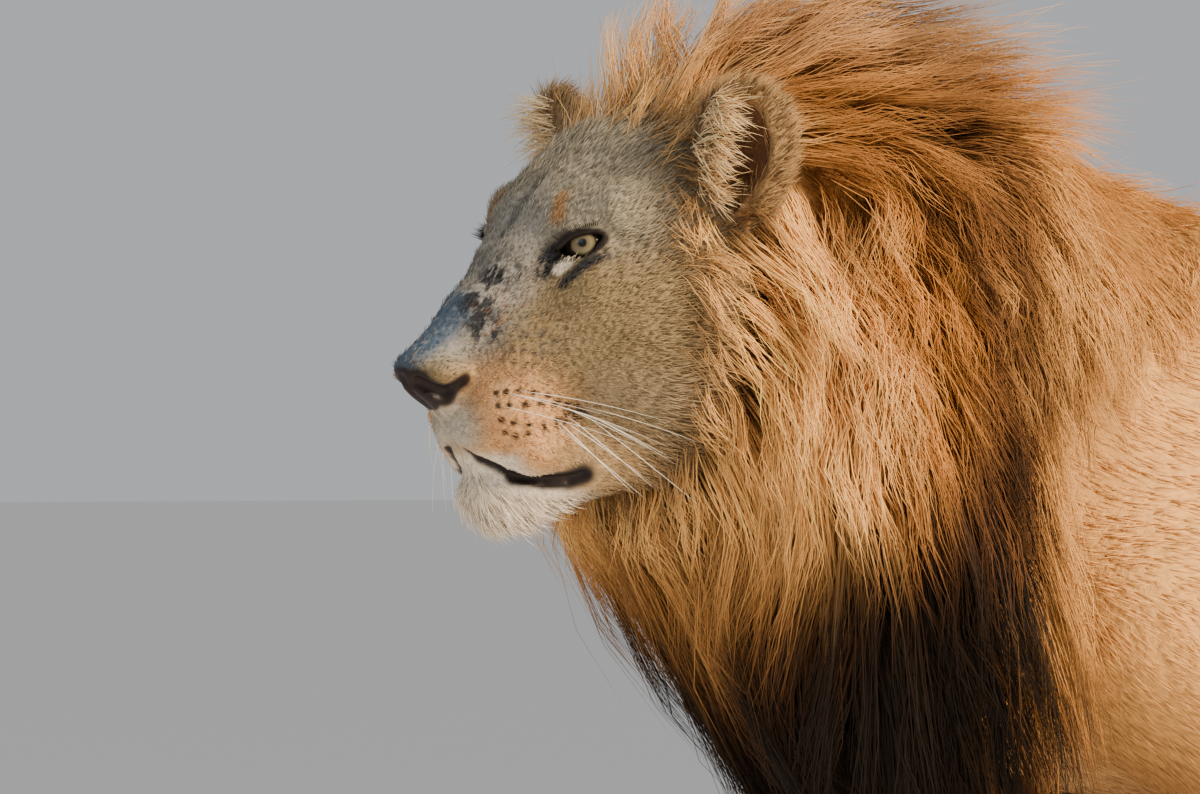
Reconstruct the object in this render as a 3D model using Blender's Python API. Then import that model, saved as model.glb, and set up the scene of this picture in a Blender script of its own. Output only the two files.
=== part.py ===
"""An adult male lion standing still, life size, as closed solids out to the tips of its coat.

Metres, +Z up. The lion looks along -Y and its left side is at +X. The origin is on the floor,
at the middle of the box round the whole animal, and all four soles are flats at height zero.

The animal is modelled whole, from tapered rods and eggs laid along its bones and muscles. They
are fused and smoothed, and the result is parted by thin cuts where the parts have names.
"""

import math

import bmesh
import bpy
from mathutils import Matrix, Vector

# Driving dimensions. Places below are in lion units: side, back from the nose tip, up.
# One lion unit is a metre on an animal 1.13 m high at the shoulder, and SIZE scales all of it.
SIZE = 1.05
NOSE_TO_CENTRE = 1.0375
HIP_BACK = 1.66
TAIL_CURVE = ((1.75, .975), (2.05, .995), (1.985, .62), (2.015, .335))
TAIL_BONES = 8
TAIL_ROOT_RADIUS = .048
TAIL_END_RADIUS = .021

COAT = .010
FACE_COAT = .006
GAP = .0003
WELD = 1e-6

# Rings of the icospheres that rods and eggs are made of.
ROD_DETAIL = 2
EGG_DETAIL = 3
PLUG_DETAIL = 2

FORE_STRIDE = {1: .05, -1: -.06}
HIND_STRIDE = {1: -.09, -1: .05}
FORE_PAW = (.140, .716)
HIND_PAW = (.130, .084)
# Height of the middle, half width and half length.
PAW_SIZES = {"fore": (.052, .071, .090), "hind": (.050, .064, .088)}
# How far to the side and how far forward each toe lies, as shares of the paw's width and length.
TOES = ((-.70, .66), (-.25, .86), (.25, .86), (.70, .66))
EYE = (.054, .147, 1.101)
EYE_RADIUS = .019
NOSE = (0, .024, .990)
NOSE_RADII = (.030, .024, .024)
EAR = (.124, .250, 1.176)
EAR_RADII = (.047, .028, .062)
EAR_BOWL = (0, -.027, .006)
EAR_BOWL_RADII = (.035, .031, .048)
EAR_OUT = 28

# Where the parts meet.
HEAD_END = .235
MOUTH_UP = .927
JAW_END = .165
CREST_UP = 1.165
CHEST_MANE_UP = .845
MANE_END = .615
CHEST_END = 1.10
LOIN_END = 1.47
TAIL_START = .245
TUFT_UP = .47
WRIST_UP = .135
LEG_TOP = 1.05
FORE_SPLIT_UP = .575
HIND_SPLIT_UP = .590

BODY_GRAIN = .011
HEAD_GRAIN = .0055
BODY_TRIANGLES = 3100
HEAD_TRIANGLES = 1400
BODY_SMOOTHING = 7
HEAD_SMOOTHING = 5

FUR_TAN = (.52, .33, .16)
MANE_BROWN = (.30, .13, .045)
MANE_DARK = (.07, .035, .018)
FACE_GREY = (.42, .31, .19)
NOSE_DARK = (.06, .035, .03)
EYE_AMBER = (.55, .42, .16)


def at(side, back, up):
    """A place on the lion, in metres."""
    return Vector((side, back - NOSE_TO_CENTRE, up)) * SIZE


def behind_hip(side, back, up):
    """A place measured back from the hip joint."""
    return at(side, HIP_BACK + back, up)


def clear_scene():
    for old in list(bpy.data.objects):
        bpy.data.objects.remove(old)


class Clay:
    """Closed rods and eggs heaped into one mesh, still to be fused."""

    def __init__(self, coat):
        self.coat = coat
        self.mesh = bmesh.new()

    def egg(self, centre, radii, turn=None, detail=EGG_DETAIL):
        shape = Matrix.Diagonal([r * SIZE + self.coat for r in radii]).to_4x4()
        turn = turn.to_4x4() if turn else Matrix()
        place = Matrix.Translation(centre) @ turn @ shape
        bmesh.ops.create_icosphere(self.mesh, subdivisions=detail, radius=1.0, matrix=place)

    def rod(self, start, end, start_radius, end_radius, wide=1.0):
        """The hull of two eggs: a tapered rod, wide times as broad across the lion as it is deep."""
        ends = bmesh.new()
        for centre, r in ((start, start_radius), (end, end_radius)):
            shape = Matrix.Diagonal((r * wide * SIZE, r * SIZE, r * SIZE)).to_4x4()
            shape += Matrix.Diagonal((self.coat, self.coat, self.coat, 0))
            place = Matrix.Translation(centre) @ shape
            bmesh.ops.create_icosphere(ends, subdivisions=ROD_DETAIL, radius=1.0, matrix=place)
        hull = bmesh.new()
        for vert in ends.verts:
            hull.verts.new(vert.co)
        bmesh.ops.convex_hull(hull, input=hull.verts)
        inside = [v for v in hull.verts if not v.link_faces]
        bmesh.ops.delete(hull, geom=inside, context="VERTS")
        mesh = bpy.data.meshes.new("rod")
        hull.to_mesh(mesh)
        self.mesh.from_mesh(mesh)
        bpy.data.meshes.remove(mesh)
        hull.free()
        ends.free()


def head(clay):
    """Skull, cheeks, brows and muzzle, from the nose back, and the lower jaw."""
    spine = (
        (.0355, 1.001, .026),
        (.0823, 1.0366, .031),
        (.131, 1.074, .045),
        (.178, 1.105, .065),
        (.214, 1.132, .066),
        (.290, 1.135, .086),
    )
    for (back, up, radius), (next_back, next_up, next_radius) in zip(spine, spine[1:]):
        wide = 1.0 if back < .12 else 1.15
        clay.rod(at(0, back, up), at(0, next_back, next_up), radius, next_radius, wide)
    clay.rod(at(0, .084, .982), at(0, .155, 1.015), .034, .066, 1.2)
    for s in (1, -1):
        clay.rod(at(s * .030, .107, 1.005), at(s * .066, .188, 1.03), .040, .058)
        clay.rod(at(s * .066, .155, 1.056), at(s * .098, .228, 1.050), .028, .038)
        clay.egg(at(s * .076, .215, 1.00), (.052, .072, .064))
        clay.rod(at(s * .042, .137, 1.122), at(s * .074, .160, 1.130), .014, .018)
        clay.egg(at(s * .054, .240, 1.118), (.052, .072, .066))
        clay.egg(at(s * .033, .098, .966), (.033, .040, .030))
        clay.egg(at(s * .011, .066, .955), (.017, .020, .021))
        clay.rod(at(s * .018, .078, .946), at(s * .037, .104, .940), .022, .027)
        clay.rod(at(s * .037, .104, .940), at(s * .049, .150, .953), .027, .026)
    lower_jaw(clay)


def lower_jaw(clay):
    """Chin, the two sides of the jaw and the floor of the mouth."""
    clay.egg(at(0, .098, .935), (.033, .034, .030))
    clay.egg(at(0, .103, .904), (.033, .036, .031))
    for s in (1, -1):
        clay.rod(at(s * .018, .110, .915), at(s * .066, .225, .962), .028, .045)
    clay.rod(at(0, .11, .935), at(0, .22, .96), .028, .052)


def neck(clay):
    """Nape and throat, under the mane."""
    clay.rod(at(0, .26, 1.08), at(0, .46, 1.02), .105, .145, .95)
    clay.rod(at(0, .46, 1.02), at(0, .64, .96), .145, .185, .95)
    clay.rod(at(0, .24, .98), at(0, .50, .88), .075, .16, .9)


def mane(clay):
    """The mane's outline: crest, forelock, ruffs beside the cheeks, collar and chest fringe."""
    clay.rod(at(0, .36, 1.10), at(0, .66, .985), .235, .190, .72)
    clay.rod(at(0, .62, 1.06), at(0, .80, 1.03), .120, .095, .9)
    clay.rod(at(0, .235, 1.18), at(0, .36, 1.24), .050, .085)
    clay.egg(at(0, .26, .93), (.105, .105, .085))
    for s in (1, -1):
        clay.rod(at(s * .085, .47, 1.07), at(s * .097, .37, .94), .171, .171)
        clay.rod(at(s * .097, .37, .94), at(s * .06, .44, .80), .171, .169)
        clay.rod(at(s * .085, .47, 1.07), at(s * .08, .62, .98), .171, .159)
    clay.rod(at(0, .43, .82), at(0, .47, .67), .205, .145, 1.05)
    clay.rod(at(0, .47, .67), at(0, .61, .70), .145, .105)


def trunk(clay):
    """Ribs, chest, flanks and croup, the ridge of the back, the belly and the root of the tail."""
    clay.rod(at(0, .66, .860), at(0, .98, .850), .230, .258, .83)
    clay.egg(at(0, .58, .80), (.14, .15, .17))
    clay.rod(at(0, .98, .850), at(0, 1.37, .875), .258, .200, .80)
    clay.rod(at(0, 1.37, .875), at(0, 1.66, .915), .200, .165, .92)
    clay.rod(at(0, .72, 1.055), at(0, .98, 1.03), .068, .070, .9)
    clay.rod(at(0, .98, 1.03), at(0, 1.54, 1.015), .070, .068)
    clay.egg(at(0, 1.12, .755), (.155, .34, .155))
    clay.egg(at(0, 1.76, .92), (.085, .09, .10))
    clay.egg(at(0, 1.665, .80), (.105, .105, .150))


def foreleg(clay, s):
    """Shoulder, upper arm, forearm, elbow and wrist. Later joints take more of the stride."""
    step = FORE_STRIDE[s]
    point, elbow, wrist = .632, .79 + step * .2, .775 + step * .8
    clay.rod(at(s * .105, .77, 1.045), at(s * .152, point, .80), .070, .090)
    clay.rod(at(s * .152, point, .80), at(s * .160, elbow, .64), .090, .086)
    clay.egg(at(s * .146, .81 + step * .1, .77), (.066, .100, .140))
    clay.rod(at(s * .156, elbow, .64), at(s * .140, wrist, .25), .082, .055)
    clay.egg(at(s * .157, .785 + step * .35, .51), (.062, .074, .13))
    clay.egg(at(s * .156, .862 + step * .2, .63), (.036, .038, .048))
    clay.rod(at(s * .140, wrist, .25), at(s * .140, .760 + step, .110), .056, .057)
    clay.egg(at(s * .140, .808 + step * .9, .19), (.026, .020, .032))


def hindleg(clay, s):
    """Thigh, buttock, shank, heel and instep. Later joints take more of the stride."""
    step = HIND_STRIDE[s]
    clay.rod(behind_hip(s * .100, -.02, .905), behind_hip(s * .132, -.105 + step * .2, .645), .138, .108)
    clay.egg(behind_hip(s * .106, .045 + step * .1, .79), (.086, .120, .170))
    knee, hock = -.125 + step * .25, .06 + step * .75
    clay.rod(behind_hip(s * .132, knee, .62), behind_hip(s * .130, hock, .36), .094, .052)
    clay.egg(behind_hip(s * .130, -.03 + step * .45, .52), (.056, .076, .110))
    heel = .100 + step * .78
    clay.rod(behind_hip(s * .130, heel, .350), behind_hip(s * .130, heel - .025, .325), .033, .044)
    clay.rod(behind_hip(s * .130, heel - .02, .335), behind_hip(s * .130, .052 + step, .105), .048, .050)


def paw(clay, place, wide, length):
    """A rounded pad with four toes along its front."""
    side, back, up = place
    clay.egg(at(side, back, up), (wide, length, up + .006))
    for spread, reach in TOES:
        knuckle = at(side + spread * wide * .85, back - reach * length * .35, .058)
        tip = at(side + spread * wide, back - reach * length, .026)
        clay.rod(knuckle, tip, wide * .36, wide * .37)


def tail_points():
    """(place, radius) down the tail, along one smooth curve from the rump."""
    points = []
    for k in range(TAIL_BONES + 1):
        t = k / TAIL_BONES
        shares = ((1 - t) ** 3, 3 * t * (1 - t) ** 2, 3 * t * t * (1 - t), t ** 3)
        back = sum(share * corner[0] for share, corner in zip(shares, TAIL_CURVE))
        up = sum(share * corner[1] for share, corner in zip(shares, TAIL_CURVE))
        radius = TAIL_END_RADIUS + (TAIL_ROOT_RADIUS - TAIL_END_RADIUS) * (1 - t) ** 2
        points.append((at(0, back, up), radius))
    return points


def tail(clay):
    """A curve that falls from the rump, with a tuft at its end."""
    points = tail_points()
    for (place, radius), (next_place, next_radius) in zip(points, points[1:]):
        clay.rod(place, next_place, radius, next_radius)
    back, up = TAIL_CURVE[-1]
    clay.rod(at(0, back - .004, up + .06), at(0, back + .01, up - .04), .026, .048)
    clay.rod(at(0, back + .01, up - .04), at(0, back + .035, up - .13), .048, .020)


def fused(name, clay, grain, triangles, smoothing):
    """One closed mesh of all the clay: voxels make the union, then it is smoothed and thinned."""
    mesh = bpy.data.meshes.new(name)
    clay.mesh.to_mesh(mesh)
    clay.mesh.free()
    lump = bpy.data.objects.new(name, mesh)
    bpy.context.scene.collection.objects.link(lump)
    remesh = lump.modifiers.new("fuse", "REMESH")
    remesh.mode = "VOXEL"
    remesh.voxel_size = grain
    smooth = lump.modifiers.new("smooth", "SMOOTH")
    smooth.factor = .5
    smooth.iterations = smoothing
    thinned(lump, triangles)
    return baked(lump)


def thinned(obj, triangles):
    """Adds a Decimate that leaves about this many triangles."""
    graph = bpy.context.evaluated_depsgraph_get()
    mesh = obj.evaluated_get(graph).to_mesh()
    mesh.calc_loop_triangles()
    thin = obj.modifiers.new("thin", "DECIMATE")
    thin.ratio = min(1.0, triangles / len(mesh.loop_triangles))
    obj.evaluated_get(graph).to_mesh_clear()


def baked(obj):
    """Applies the modifiers, so that the shape can be cut."""
    graph = bpy.context.evaluated_depsgraph_get()
    mesh = bpy.data.meshes.new_from_object(obj.evaluated_get(graph))
    obj.modifiers.clear()
    obj.data = mesh
    return obj


def copied(obj, name):
    twin = bpy.data.objects.new(name, obj.data.copy())
    bpy.context.scene.collection.objects.link(twin)
    return twin


def cut(obj, place, away):
    """Removes what lies past the plane, on the side that away points to, and closes the cut."""
    shape = bmesh.new()
    shape.from_mesh(obj.data)
    bmesh.ops.bisect_plane(
        shape,
        geom=shape.verts[:] + shape.edges[:] + shape.faces[:],
        dist=WELD,
        plane_co=place,
        plane_no=away,
        clear_outer=True,
    )
    rims = [edge for edge in shape.edges if edge.is_boundary]
    bmesh.ops.holes_fill(shape, edges=rims, sides=0)
    bmesh.ops.triangulate(shape, faces=shape.faces, ngon_method="EAR_CLIP")
    shape.to_mesh(obj.data)
    shape.free()
    return obj


def parted(obj, place, normal, before, after):
    """Cuts in two with a thin gap: (the side that normal points away from, the other side)."""
    normal = Vector(normal).normalized()
    half = normal * (GAP / 2)
    first = cut(copied(obj, before), place - half, normal)
    second = cut(copied(obj, after), place + half, -normal)
    bpy.data.objects.remove(obj)
    return first, second


def boolean(obj, tool, operation):
    """Cuts with a closed tool."""
    step = obj.modifiers.new(operation.lower(), "BOOLEAN")
    step.operation = operation
    step.solver = "EXACT"
    step.object = tool
    baked(obj)
    return without_crumbs(obj)


def without_crumbs(obj):
    """Keeps the largest piece, since a cut that grazes the surface can leave a loose sliver."""
    shape = bmesh.new()
    shape.from_mesh(obj.data)
    unseen = set(shape.verts)
    pieces = []
    while unseen:
        reached = [unseen.pop()]
        for vert in reached:
            near = {edge.other_vert(vert) for edge in vert.link_edges} & unseen
            unseen -= near
            reached.extend(near)
        pieces.append(reached)
    pieces.sort(key=len)
    crumbs = [vert for piece in pieces[:-1] for vert in piece]
    bmesh.ops.delete(shape, geom=crumbs, context="VERTS")
    bmesh.ops.remove_doubles(shape, verts=shape.verts, dist=WELD)
    rims = [edge for edge in shape.edges if edge.is_boundary]
    bmesh.ops.holes_fill(shape, edges=rims, sides=0)
    bmesh.ops.triangulate(shape, faces=shape.faces, ngon_method="EAR_CLIP")
    shape.to_mesh(obj.data)
    shape.free()
    return obj


def as_cutter(tool):
    """Marks what only cuts and is no part of the animal."""
    tool.hide_render = True
    tool.display_type = "WIRE"
    return tool


def helper(name, shape):
    """A cutter made from a closed shape."""
    bmesh.ops.recalc_face_normals(shape, faces=shape.faces)
    bmesh.ops.triangulate(shape, faces=shape.faces, ngon_method="EAR_CLIP")
    mesh = bpy.data.meshes.new(name)
    shape.to_mesh(mesh)
    shape.free()
    tool = bpy.data.objects.new(name, mesh)
    bpy.context.scene.collection.objects.link(tool)
    return as_cutter(tool)


def leg_block(name, s, split_up, inner, front, rear, lean, grow):
    """The space of one leg: all below the trunk on its side, and its muscles on the trunk's flank.

    The block's outline is drawn from the front and pushed through from front to rear. It leans
    back with height, as the shoulder and the thigh do, and grow widens it all round.
    """
    top, outside, floor, middle = LEG_TOP + grow, .45, -.2, .004 - grow
    ledge = split_up + grow
    outline = (
        (middle, floor),
        (outside, floor),
        (outside, top),
        (inner[1] - grow, top),
        (inner[0] - grow, ledge + .06),
        (inner[0] - grow - .01, ledge),
        (middle, ledge),
    )
    shape = bmesh.new()
    rows = []
    for back in (front - grow, rear + grow):
        row = []
        for side, up in outline:
            shift = lean * (up - split_up)
            row.append(shape.verts.new(at(s * side, back + shift, up)))
        rows.append(row)
    count = len(outline)
    shape.faces.new(rows[0])
    shape.faces.new(rows[1])
    for k in range(count):
        after = (k + 1) % count
        shape.faces.new((rows[0][k], rows[0][after], rows[1][after], rows[1][k]))
    return helper(name, shape)


def box(name, low, high):
    shape = bmesh.new()
    bmesh.ops.create_cube(shape, size=1.0)
    size = Vector(high) - Vector(low)
    middle = (Vector(high) + Vector(low)) / 2
    for vert in shape.verts:
        vert.co = middle + Vector(a * b for a, b in zip(vert.co, size))
    return helper(name, shape)


def jaw_cut(face):
    """The lower jaw, from the chin back to the cheeks."""
    jaw_end, outside, below = at(0, JAW_END, MOUTH_UP), .2, .8
    spaces = []
    for name, grow in (("jaw_space", 0), ("jaw_hole", GAP)):
        low = (-outside - grow, -2, below - grow)
        high = (outside + grow, jaw_end.y + grow, jaw_end.z + grow)
        spaces.append(box(name, low, high))
    jaw = boolean(copied(face, "jaw"), spaces[0], "INTERSECT")
    face.name = "head"
    return boolean(face, spaces[1], "DIFFERENCE"), jaw


LEG_BLOCKS = {
    "foreleg": (FORE_SPLIT_UP, (.125, .150), .545, .925, .12),
    "hindleg": (HIND_SPLIT_UP, (.050, .075), 1.33, 1.90, .10),
}
SIDES = {"left": 1, "right": -1}


def leg_cut(trunk_part, kind):
    """Takes the two legs of one kind off the body: (the rest, left leg, right leg)."""
    legs = []
    for side, s in SIDES.items():
        narrow = leg_block(f"{kind}_{side}_space", s, *LEG_BLOCKS[kind], grow=0)
        wide = leg_block(f"{kind}_{side}_hole", s, *LEG_BLOCKS[kind], grow=GAP)
        legs.append(boolean(copied(trunk_part, f"{kind}_{side}"), narrow, "INTERSECT"))
        boolean(trunk_part, wide, "DIFFERENCE")
    return trunk_part, *legs


def ball_mesh(name, place, radii, turn=None, detail=PLUG_DETAIL):
    clay = Clay(0)
    clay.egg(place, radii, turn, detail)
    mesh = bpy.data.meshes.new(name)
    clay.mesh.to_mesh(mesh)
    clay.mesh.free()
    ball = bpy.data.objects.new(name, mesh)
    bpy.context.scene.collection.objects.link(ball)
    return ball


def plugged(holders, name, place, radii, turn=None, detail=PLUG_DETAIL):
    """A piece that sits in a hole of its own shape in each holder."""
    piece = ball_mesh(name, place, radii, turn, detail)
    grown = tuple(r + GAP / SIZE for r in radii)
    hole = as_cutter(ball_mesh(name + "_hole", place, grown, turn, detail))
    for holder in holders:
        boolean(holder, hole, "DIFFERENCE")
    return piece


def ear_turn(s):
    """Columns: across the ear, out of its back, and up along it."""
    out = math.radians(EAR_OUT)
    rise = Vector((s * .36, -.06, .95)).normalized()
    back = Vector((-s * math.sin(out), math.cos(out), 0))
    back = (back - rise * back.dot(rise)).normalized()
    return Matrix((back.cross(rise), back, rise)).transposed()


def ear(holders, side, s):
    """A round cup on the side of the crown, open to the front and outwards."""
    place = at(s * EAR[0], EAR[1], EAR[2])
    turn = ear_turn(s)
    piece = plugged(holders, f"ear_{side}", place, EAR_RADII, turn, EGG_DETAIL)
    bowl_place = place + turn @ Vector(EAR_BOWL) * SIZE
    bowl = as_cutter(ball_mesh(f"ear_{side}_bowl", bowl_place, EAR_BOWL_RADII, turn))
    return boolean(piece, bowl, "DIFFERENCE")


def painted(objects, name, colour, rough):
    skin = bpy.data.materials.new(name)
    skin.use_nodes = True
    shader = skin.node_tree.nodes["Principled BSDF"]
    shader.inputs["Base Color"].default_value = (*colour, 1)
    shader.inputs["Roughness"].default_value = rough
    shader.inputs["Metallic"].default_value = 0
    for obj in objects:
        own = skin.copy()
        own.name = f"{name}_{obj.name}"
        obj.data.materials.clear()
        obj.data.materials.append(own)
        obj.data.shade_smooth()


def whole_body():
    """Everything from the cheeks back."""
    clay = Clay(COAT)
    neck(clay)
    trunk(clay)
    for s in SIDES.values():
        foreleg(clay, s)
        hindleg(clay, s)
        up, wide, length = PAW_SIZES["fore"]
        paw(clay, (s * FORE_PAW[0], FORE_PAW[1] + FORE_STRIDE[s], up), wide, length)
        up, wide, length = PAW_SIZES["hind"]
        paw(clay, (s * HIND_PAW[0], HIP_BACK + HIND_PAW[1] + HIND_STRIDE[s], up), wide, length)
    tail(clay)
    mane(clay)
    return fused("body", clay, BODY_GRAIN, BODY_TRIANGLES, BODY_SMOOTHING)


def front_of_head():
    """The face, with enough of the ruff to be cut across. It is thinned in two steps."""
    clay = Clay(FACE_COAT)
    head(clay)
    neck(clay)
    mane(clay)
    lump = fused("face", clay, HEAD_GRAIN, HEAD_TRIANGLES * 3, HEAD_SMOOTHING)
    thinned(lump, HEAD_TRIANGLES)
    return cut(baked(lump), at(0, HEAD_END, 1.0) - Vector((0, GAP / 2, 0)), Vector((0, 1, 0)))


def build():
    clear_scene()
    body = whole_body()
    cut(body, at(0, 0, 0), Vector((0, 0, -1)))
    cut(body, at(0, HEAD_END, 1.0) + Vector((0, GAP / 2, 0)), Vector((0, -1, 0)))
    face = front_of_head()

    head_part, jaw = jaw_cut(face)
    crest_line = at(0, .40, CREST_UP)
    collar, rest = parted(body, at(0, MANE_END, .90), (0, 1, -.16), "collar", "rest")
    crest, collar = parted(collar, crest_line, (0, .35, -1), "mane_crest", "collar_low")
    collar, chest_mane = parted(collar, at(0, .40, CHEST_MANE_UP), (0, 0, -1), "collar_mid", "mane_chest")
    mane_right, mane_left = parted(collar, at(0, .40, 1.0), (1, 0, 0), "mane_right", "mane_left")
    ears = [ear((head_part, crest), side, s) for side, s in SIDES.items()]
    eyes = []
    for side, s in SIDES.items():
        place = at(s * EYE[0], EYE[1], EYE[2])
        eyes.append(plugged([head_part], f"eye_{side}", place, (EYE_RADIUS,) * 3))
    nose = plugged([head_part], "nose", at(*NOSE), NOSE_RADII)

    rest, fore_left, fore_right = leg_cut(rest, "foreleg")
    rest, hind_left, hind_right = leg_cut(rest, "hindleg")
    chest, rest = parted(rest, at(0, CHEST_END, .9), (0, 1, 0), "chest", "rear")
    loin, rest = parted(rest, at(0, LOIN_END, .9), (0, 1, 0), "loin", "stern")
    rump, tail_whole = parted(rest, behind_hip(0, TAIL_START, .9), (0, 1, 0), "rump", "tail_whole")
    tail_part, tuft = parted(tail_whole, at(0, 2.0, TUFT_UP), (0, 0, -1), "tail", "tail_tuft")
    paws, legs = [], []
    for leg, name in ((fore_left, "fore_left"), (fore_right, "fore_right"),
                      (hind_left, "hind_left"), (hind_right, "hind_right")):
        upper, lower = parted(leg, at(0, 1.0, WRIST_UP), (0, 0, -1), name + "_leg", name + "_paw")
        legs.append(upper)
        paws.append(lower)

    painted([crest, mane_left, mane_right], "mane", MANE_BROWN, .7)
    painted([chest_mane, tuft], "dark_mane", MANE_DARK, .7)
    painted([head_part, jaw, *ears], "face_fur", FACE_GREY, .75)
    painted([chest, loin, rump, tail_part, *legs, *paws], "coat", FUR_TAN, .75)
    painted([nose], "nose_leather", NOSE_DARK, .4)
    painted(eyes, "eye", EYE_AMBER, .05)
    for helper_object in list(bpy.data.objects):
        if helper_object.hide_render:
            bpy.data.objects.remove(helper_object)


build()
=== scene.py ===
"""A male lion, standing: one skin over the whole body, and a coat of solid tufts on top of it."""

import math

import bmesh
import bpy
import numpy as np
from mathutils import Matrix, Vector
from mathutils.kdtree import KDTree


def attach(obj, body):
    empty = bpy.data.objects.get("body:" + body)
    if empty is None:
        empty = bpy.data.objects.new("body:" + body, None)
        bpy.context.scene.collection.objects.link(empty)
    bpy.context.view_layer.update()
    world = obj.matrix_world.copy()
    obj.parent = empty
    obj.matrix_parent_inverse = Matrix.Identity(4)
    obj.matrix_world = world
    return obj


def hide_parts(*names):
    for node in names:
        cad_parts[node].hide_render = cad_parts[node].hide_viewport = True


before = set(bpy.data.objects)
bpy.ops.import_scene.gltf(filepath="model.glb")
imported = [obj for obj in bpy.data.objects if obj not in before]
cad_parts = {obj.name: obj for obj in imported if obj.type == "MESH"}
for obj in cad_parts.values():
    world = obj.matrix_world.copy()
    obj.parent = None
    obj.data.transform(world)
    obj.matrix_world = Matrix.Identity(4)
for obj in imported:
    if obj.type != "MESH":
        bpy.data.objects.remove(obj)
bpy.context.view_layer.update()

# Driving dimensions, as in the solids, except that the hind paws end a little sooner at the heel.
# Places are in lion units: side, back from the nose, up. A lion unit is SIZE metres.
SIZE = 1.05
NOSE_TO_CENTRE = 1.0375
HIP_BACK = 1.66
TAIL_CURVE = ((1.75, .975), (2.05, .995), (1.985, .62), (2.015, .335))
TAIL_BONES = 8
TAIL_ROOT_RADIUS = .048
TAIL_END_RADIUS = .021
# How far back each paw stands from its place at rest: 1 is the lion's left, -1 its right.
FORE_STRIDE = {1: .05, -1: -.06}
HIND_STRIDE = {1: -.09, -1: .05}
# How far to the side, and back from the nose or from the hip.
FORE_PAW = (.140, .716)
HIND_PAW = (.130, .064)
# Height of the middle, half width and half length.
FORE_PAD = (.050, .069, .088)
HIND_PAD = (.048, .062, .066)
EYE = (.054, .147, 1.101)
EYE_RADIUS = .019
GAZE_OUT = {1: 44, -1: 26}  # degrees that each eye looks away from straight ahead
LIDS_OUT = 46  # degrees that the lids face away from straight ahead
SLIT = .0200  # half the length of the opening between the lids, in metres
SLIT_SHIFT = .0025  # metres that the opening lies nearer to the nose than its ball
BLEND_SWELL = .005  # metres that the fillets between the limbs swell the body, taken back at once

# How finely each stretch of the skin is sampled, and where the stretches are joined.
FACE_STEP = .0023
HEAD_STEP = .0046
PAW_STEP = .0070
BODY_STEP = .0135
FACE_JOIN = .186
NECK_JOIN = .300
PAW_JOIN = .165

rng = np.random.default_rng(7)


def at(side, back, up):
    """A place on the lion, in metres."""
    return np.array((side, back - NOSE_TO_CENTRE, up)) * SIZE


def behind_hip(side, back, up):
    """A place counted back from the hip."""
    return at(side, HIP_BACK + back, up)


def lion_units(p):
    """(how far to the side, back from the nose tip, up) of points in metres."""
    return np.abs(p[:, 0]) / SIZE, p[:, 1] / SIZE + NOSE_TO_CENTRE, p[:, 2] / SIZE


def unit(v):
    """The same directions, one long."""
    return v / np.maximum(np.linalg.norm(v, axis=-1, keepdims=True), 1e-9)


def ramp(x, low, high):
    """Rises smoothly from 0 at low to 1 at high, or falls where high is the smaller."""
    t = np.clip((x - low) / (high - low), 0, 1)
    return t * t * (3 - 2 * t)


# ---------------------------------------------------------------- clay: a signed distance field


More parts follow.
